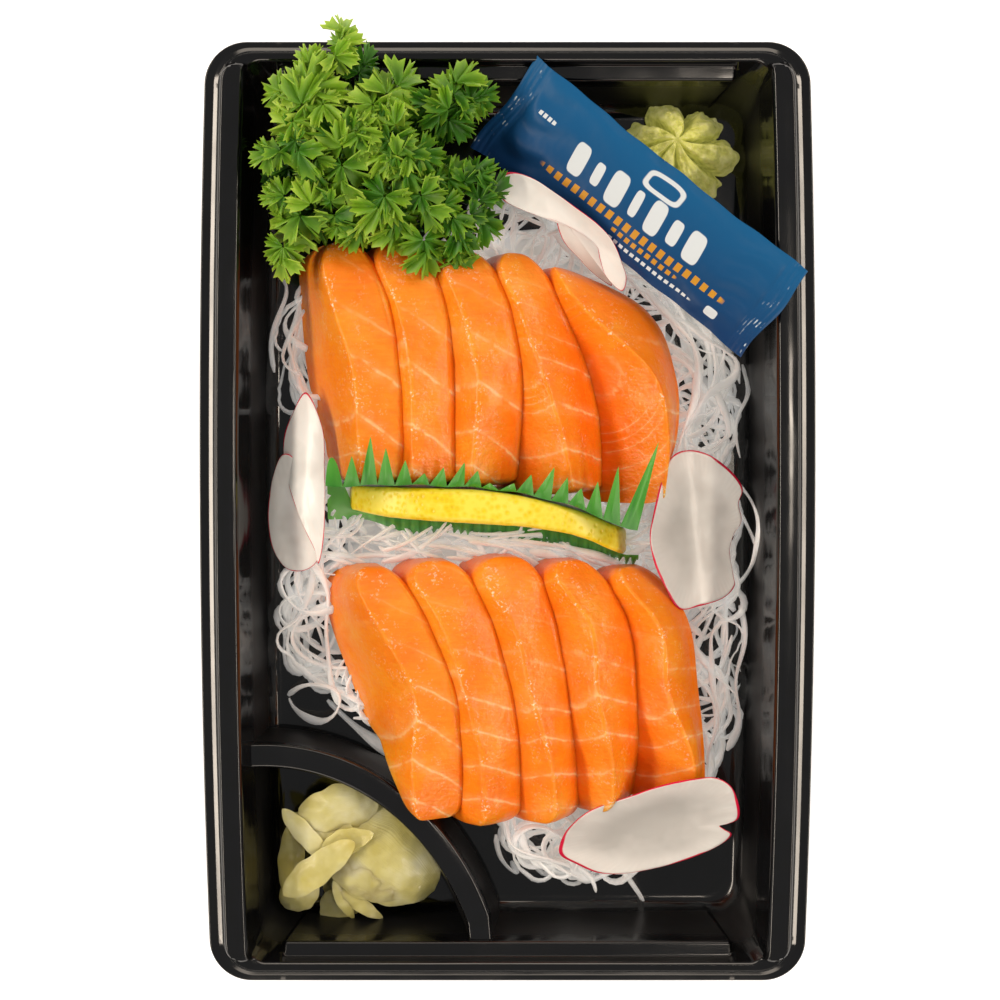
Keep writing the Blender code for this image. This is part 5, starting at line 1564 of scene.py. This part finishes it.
def build_ginger():
    finish = pickled_ginger()
    rng = random.Random(8)
    pieces = []
    for k in range(16):
        angle = math.tau * k / 16 + rng.uniform(-0.3, 0.3)
        reach = rng.uniform(3.0, 11.5)
        place = (GINGER_CENTRE[0] + 1 + reach * math.cos(angle),
                 GINGER_CENTRE[1] + reach * math.sin(angle), rng.uniform(3.0, 12.5) - 0.25 * reach)
        pieces.append(ginger_slice(place, (rng.uniform(6.0, 9.0), rng.uniform(3.0, 5.5)),
                                   math.degrees(angle), rng.uniform(1.0, 3.5), rng.uniform(0, 3.0),
                                   0.6, finish, rng))
    for shape in GINGER_SLICES:
        pieces.append(ginger_slice(*shape, finish, rng))
    settle(join_pieces("ginger_slices", pieces), "ginger", "ginger")


# ---------------------------------------------------------------- parsley

def parsley_leaf_finish():
    """Curly parsley: fresh green, yellower at the teeth of the leaf and darker towards its base, with
    painted light and shade that makes high leaves paler and low ones darker, matt with a soft sheen,
    and lit through where it is thin."""
    finish = Finish("parsley_leaf_fresh", Roughness=0.45, IOR=1.38, Subsurface_Weight=0.2,
                    Subsurface_Radius=(0.5, 1.0, 0.1), Subsurface_Scale=0.0015)
    cloud = finish.cloud(200.0)
    tone = finish.maths("MULTIPLY_ADD", finish.attribute("edge"), 0.32, finish.attribute("tone"))
    tone = finish.maths("MULTIPLY_ADD", cloud, 0.35, tone)
    colour = finish.ramp(tone, (0.12, "#153c0a"), (0.45, "#3d7414"), (0.75, "#7ba426"),
                         (1.0, "#a8c746"))
    return finish.done(colour, cloud, 0.4, 0.0006)


def parsley_leaflet(finish):
    """One leaflet, a unit long: a ruffled fan of three rounded lobes with small teeth."""
    rings = (0.08, 0.42, 0.72, 0.9, 1.0)
    steps = 10

    def at(row, column):
        ring = rings[row]
        lobe, n = divmod(column, steps + 1)
        across = n / steps
        angle = math.radians(mix(-92, 92, (lobe + mix(0.02, 0.98, across)) / 3))
        outer = 0.58 + 0.26 * math.sin(math.pi * across) ** 0.6 + (0.15 if n % 2 else 0.0)
        if n in (0, steps):
            outer = 0.4
        elif n in (4, 6):
            outer -= 0.05
        outer *= 1.0 if lobe == 1 else 0.88
        reach = ring * mix(0.62, outer, smoothstep(0.3, 1.0, ring))
        ruffle = 0.19 * ring * math.cos(across * math.tau)
        ruffle += 0.07 * ring ** 3 * math.cos(n * 2.1 + lobe)
        point = (reach * math.sin(angle), reach * math.cos(angle),
                 ruffle - 0.28 * ring * ring + 0.12 * ring)
        return [c / MM for c in point], ring ** 4 + (0.3 * (1 - ring) if n == 5 else 0.0)

    return sheet_piece("parsley_leaflet", len(rings), 3 * (steps + 1), at, 30.0, finish, "edge")


def sprig_leaflets(place, heading, size, normal, tone, rng):
    """Where the leaflets of one leaf go: (place, turn, size, tone) for each."""
    forward = Vector((math.cos(heading), math.sin(heading), 0.0))
    forward = (forward - normal * forward.dot(normal)).normalized()
    aside = forward.cross(normal)
    leaflets = []
    for turn, shift, share in ((0.0, 0.6, 1.0), (0.95, 0.25, 0.85), (-0.95, 0.25, 0.85),
                               (1.8, -0.2, 0.7), (-1.8, -0.2, 0.7)):
        if share < 0.75 and rng.random() < 0.4:
            continue
        turn += rng.uniform(-0.25, 0.25)
        ahead = (forward * math.cos(turn) + aside * math.sin(turn)).normalized()
        up = (normal + Vector((rng.uniform(-0.85, 0.85), rng.uniform(-0.85, 0.85), 0))).normalized()
        side = ahead.cross(up).normalized()
        frame = Matrix((side, ahead, side.cross(ahead))).transposed()
        leaflets.append((place + forward * size * shift * 0.6, frame.to_euler(),
                         size * 0.56 * share * rng.uniform(0.75, 1.2), tone + rng.uniform(-0.12, 0.12)))
    return leaflets


def build_parsley(settings):
    finish = parsley_leaf_finish()
    rng = random.Random(31)
    root = Vector((*PARSLEY_CENTRE, PARSLEY_ROOT_Z))
    leaflets = []
    stems = []
    sprigs = list(PARSLEY_SPRIGS)
    # the lower leaves get a lower tone than most top ones: painted shade under them
    for _ in range(settings.parsley_under):
        angle = rng.uniform(0, math.tau)
        reach = math.sqrt(rng.random()) * 0.86
        sprigs.append((PARSLEY_SPREAD_CENTRE[0] + PARSLEY_SPREAD * reach * math.cos(angle),
                       min(PARSLEY_SPREAD_CENTRE[1] + PARSLEY_SPREAD * reach * math.sin(angle),
                           PARSLEY_BACK_Y),
                       rng.uniform(19, 34) - 8 * reach, math.degrees(angle + rng.uniform(-0.7, 0.7)),
                       rng.uniform(9, 13), rng.uniform(-0.15, 0.15)))
    for x, y, z, heading, size, tone in sprigs:
        place = Vector((x, y, z))
        heading = math.radians(heading)
        lean = Vector(((x - PARSLEY_SPREAD_CENTRE[0]) / 60, (y - PARSLEY_SPREAD_CENTRE[1]) / 60, 1.0))
        lean += Vector((rng.uniform(-0.35, 0.35), rng.uniform(-0.35, 0.35), 0.0))
        base = place - Vector((math.cos(heading), math.sin(heading), 0)) * size * 0.4
        leaflets += sprig_leaflets(base, heading, size, lean.normalized(), tone, rng)
        low = mix(root, Vector((x, y, PARSLEY_ROOT_Z)), 0.25)
        bend = mix(low, Vector((base.x, base.y, base.z - 5.0)), 0.6)
        stems.append([round_off(low, bend, base, step / 12) for step in range(13)])
    cloud = bpy.data.meshes.new("parsley_points")
    cloud.from_pydata([tuple(place * MM) for place, _, _, _ in leaflets], [], [])
    for label, kind, values in (("turn", "FLOAT_VECTOR", [tuple(turn) for _, turn, _, _ in leaflets]),
                                ("share", "FLOAT", [size * MM for _, _, size, _ in leaflets]),
                                ("tone", "FLOAT", [tone for _, _, _, tone in leaflets])):
        layer = cloud.attributes.new(label, kind, "POINT")
        layer.data.foreach_set("vector" if kind == "FLOAT_VECTOR" else "value",
                               np.array(values, float).reshape(-1))
    spots = add_object("parsley_points", cloud)
    leaflet = parsley_leaflet(finish)
    leaves = run_geometry_tree(spots, scatter_tree(), {"Leaflet": leaflet, "Size": 1.0,
                                                       "Finish": finish}, "parsley_leaves")
    bpy.data.objects.remove(leaflet, do_unlink=True)
    settle(leaves, "parsley", "parsley")
    curves = noodle_curves(stems, [rng.uniform(0.8, 1.2) for _ in stems])
    stalks = run_geometry_tree(curves, noodle_tree(), {
        "Width": 0.6 * MM, "Flatness": 1.0, "Sides": 7, "Finish": finish}, "parsley_stalks")
    settle(stalks, "parsley")


# ---------------------------------------------------------------- stage

def build_stage(settings):
    finish = Finish("white_table_paper", Base_Color=linear("#ffffff"), Roughness=0.9,
                    Emission_Color=linear("#ffffff"), Emission_Strength=settings.floor_glow).material
    corners = [(FLOOR_REACH * x, FLOOR_REACH * y, FLOOR_Z)
               for x, y in ((-1, -1), (1, -1), (1, 1), (-1, 1))]
    make_piece("studio_floor", corners, [(0, 1, 2, 3)], finish)
    world = bpy.data.worlds.new("studio_air")
    world.use_nodes = True
    air = world.node_tree.nodes["Background"].inputs
    air["Color"].default_value = linear("#ffffff")
    air["Strength"].default_value = settings.air_strength
    bpy.context.scene.world = world
    for name, (place, size, power) in LAMPS.items():
        lamp = bpy.data.lights.new(name, "AREA")
        lamp.shape = "RECTANGLE"
        lamp.size, lamp.size_y = size
        lamp.energy = getattr(settings, power)
        lamp.color = linear(WARM_WHITE)[:3]
        obj = add_object(name, lamp)
        obj.location = place
        obj.rotation_euler = (-Vector(place)).to_track_quat("-Z", "Y").to_euler()
    camera = bpy.data.cameras.new("camera")
    camera.lens = CAMERA_LENS
    camera.sensor_width = 36.0
    camera.clip_start = 0.01
    camera.clip_end = 20.0
    obj = add_object("camera", camera)
    back = Vector((0.0, math.sin(CAMERA_TILT), math.cos(CAMERA_TILT)))
    obj.location = (Vector(CAMERA_TARGET) + back * CAMERA_DISTANCE) * MM
    obj.rotation_euler = (-CAMERA_TILT, 0.0, 0.0)
    bpy.context.scene.camera = obj
    bpy.context.scene.view_settings.view_transform = "Standard"


# ---------------------------------------------------------------- add-on

class TraySettings(bpy.types.PropertyGroup):
    plastic_colour: FloatVectorProperty(name="Plastic colour", description="Colour of the tray's sheet",
                                        subtype="COLOR", default=linear("#0c0c0e")[:3])
    sheet_thickness: FloatProperty(name="Sheet thickness", description="Wall of the tray, in "
                                   "millimetres", default=SHEET, min=0.2, max=1.5)


class SalmonSettings(bpy.types.PropertyGroup):
    flesh_colour: FloatVectorProperty(name="Flesh", description="Main colour of the salmon",
                                      subtype="COLOR", default=linear("#ff8e17")[:3])
    flesh_deep: FloatVectorProperty(name="Deep flesh", description="Darker clouds in the flesh",
                                    subtype="COLOR", default=linear("#fa7e12")[:3])
    flesh_pale: FloatVectorProperty(name="Pale flesh", description="Lighter clouds in the flesh",
                                    subtype="COLOR", default=linear("#ff9f2c")[:3])
    fat_colour: FloatVectorProperty(name="Fat", description="Colour of the fat lines",
                                    subtype="COLOR", default=linear("#ffca90")[:3])
    fat_line_width: FloatProperty(name="Fat line width", description="Width of a fat line, as a share "
                                  "of the gap between two", default=0.075, min=0.01, max=0.5)


class GarnishSettings(bpy.types.PropertyGroup):
    noodle_count: IntProperty(name="Noodles", description="How many long noodles run round the bed",
                              default=300, min=10, max=600)
    parsley_under: IntProperty(name="Lower leaves", description="How many parsley leaves lie under the "
                               "top ones", default=34, min=0, max=120)
    film_blue: FloatVectorProperty(name="Sachet blue", description="Colour of the sachet's bright edge",
                                   subtype="COLOR", default=linear("#14598b")[:3])
    film_dark: FloatVectorProperty(name="Sachet navy", description="Colour of the sachet's deep edge",
                                   subtype="COLOR", default=linear("#123765")[:3])


class StageSettings(bpy.types.PropertyGroup):
    left_power: FloatProperty(name="Left softbox", description="Power of the left light, in watts",
                              default=11.0, min=0.0)
    right_power: FloatProperty(name="Right softbox", description="Power of the right light, in watts",
                               default=8.0, min=0.0)
    end_power: FloatProperty(name="End softboxes", description="Power of each end light, in watts",
                             default=4.5, min=0.0)
    strip_power: FloatProperty(name="High strip", description="Power of the high strip light, in "
                               "watts", default=0.5, min=0.0)
    air_strength: FloatProperty(name="Air", description="Even light from all round", default=0.25,
                                min=0.0)
    floor_glow: FloatProperty(name="Floor glow", description="Light the white floor gives off",
                              default=0.5, min=0.0)


class MakeTray(bpy.types.Operator):
    """Makes the thermoformed tray with its divider"""

    bl_idname = "sashimi.tray"
    bl_label = "Tray"

    def execute(self, context):
        build_tray(context.scene.sashimi_tray)
        return {"FINISHED"}


class MakeSalmon(bpy.types.Operator):
    """Makes the two rows of salmon slices"""

    bl_idname = "sashimi.salmon"
    bl_label = "Salmon"

    def execute(self, context):
        build_salmon(context.scene.sashimi_salmon)
        return {"FINISHED"}


class MakeNoodles(bpy.types.Operator):
    """Makes the bed of shredded daikon"""

    bl_idname = "sashimi.noodles"
    bl_label = "Daikon noodles"

    def execute(self, context):
        build_noodles(context.scene.sashimi_garnish)
        return {"FINISHED"}


class MakeLemon(bpy.types.Operator):
    """Makes the half slice of lemon"""

    bl_idname = "sashimi.lemon"
    bl_label = "Lemon"

    def execute(self, context):
        build_lemon()
        return {"FINISHED"}


class MakeGrass(bpy.types.Operator):
    """Makes the two sheets of plastic grass"""

    bl_idname = "sashimi.grass"
    bl_label = "Plastic grass"

    def execute(self, context):
        build_grass()
        return {"FINISHED"}


class MakeRadish(bpy.types.Operator):
    """Makes the six slices of radish"""

    bl_idname = "sashimi.radish"
    bl_label = "Radish"

    def execute(self, context):
        build_radish()
        return {"FINISHED"}


class MakePacket(bpy.types.Operator):
    """Makes the sachet of soy sauce"""

    bl_idname = "sashimi.packet"
    bl_label = "Soy sauce sachet"

    def execute(self, context):
        build_packet(context.scene.sashimi_garnish)
        return {"FINISHED"}


class MakeWasabi(bpy.types.Operator):
    """Makes the piped wasabi"""

    bl_idname = "sashimi.wasabi"
    bl_label = "Wasabi"

    def execute(self, context):
        build_wasabi()
        return {"FINISHED"}


class MakeGinger(bpy.types.Operator):
    """Makes the heap of pickled ginger"""

    bl_idname = "sashimi.ginger"
    bl_label = "Pickled ginger"

    def execute(self, context):
        build_ginger()
        return {"FINISHED"}


class MakeParsley(bpy.types.Operator):
    """Makes the bunch of curly parsley"""

    bl_idname = "sashimi.parsley"
    bl_label = "Parsley"

    def execute(self, context):
        build_parsley(context.scene.sashimi_garnish)
        return {"FINISHED"}


class MakeStage(bpy.types.Operator):
    """Makes the floor, the lights and the camera"""

    bl_idname = "sashimi.stage"
    bl_label = "Stage"

    def execute(self, context):
        build_stage(context.scene.sashimi_stage)
        return {"FINISHED"}


OPERATORS = (MakeTray, MakeSalmon, MakeNoodles, MakeLemon, MakeGrass, MakeRadish, MakePacket,
             MakeWasabi, MakeGinger, MakeParsley, MakeStage)
SETTINGS = {"sashimi_tray": TraySettings, "sashimi_salmon": SalmonSettings,
            "sashimi_garnish": GarnishSettings, "sashimi_stage": StageSettings}


class SashimiPanel(bpy.types.Panel):
    """Lists the pieces of the sashimi tray"""

    bl_idname = "VIEW3D_PT_sashimi"
    bl_label = "Sashimi tray"
    bl_space_type = "VIEW_3D"
    bl_region_type = "UI"
    bl_category = "Sashimi"

    def draw(self, context):
        for operator in OPERATORS:
            self.layout.operator(operator.bl_idname)
        for label, group in SETTINGS.items():
            box = self.layout.box()
            for prop in group.__annotations__:
                box.prop(getattr(context.scene, label), prop)


def register():
    for group in (*SETTINGS.values(), *OPERATORS, SashimiPanel):
        bpy.utils.register_class(group)
    for label, group in SETTINGS.items():
        setattr(bpy.types.Scene, label, PointerProperty(type=group))


def unregister():
    for label in SETTINGS:
        delattr(bpy.types.Scene, label)
    for group in reversed((*SETTINGS.values(), *OPERATORS, SashimiPanel)):
        bpy.utils.unregister_class(group)


def main():
    register()
    for operator in OPERATORS:
        piece = operator.bl_idname.split(".")[1]
        getattr(bpy.ops.sashimi, piece)()


if __name__ == "__main__":
    main()
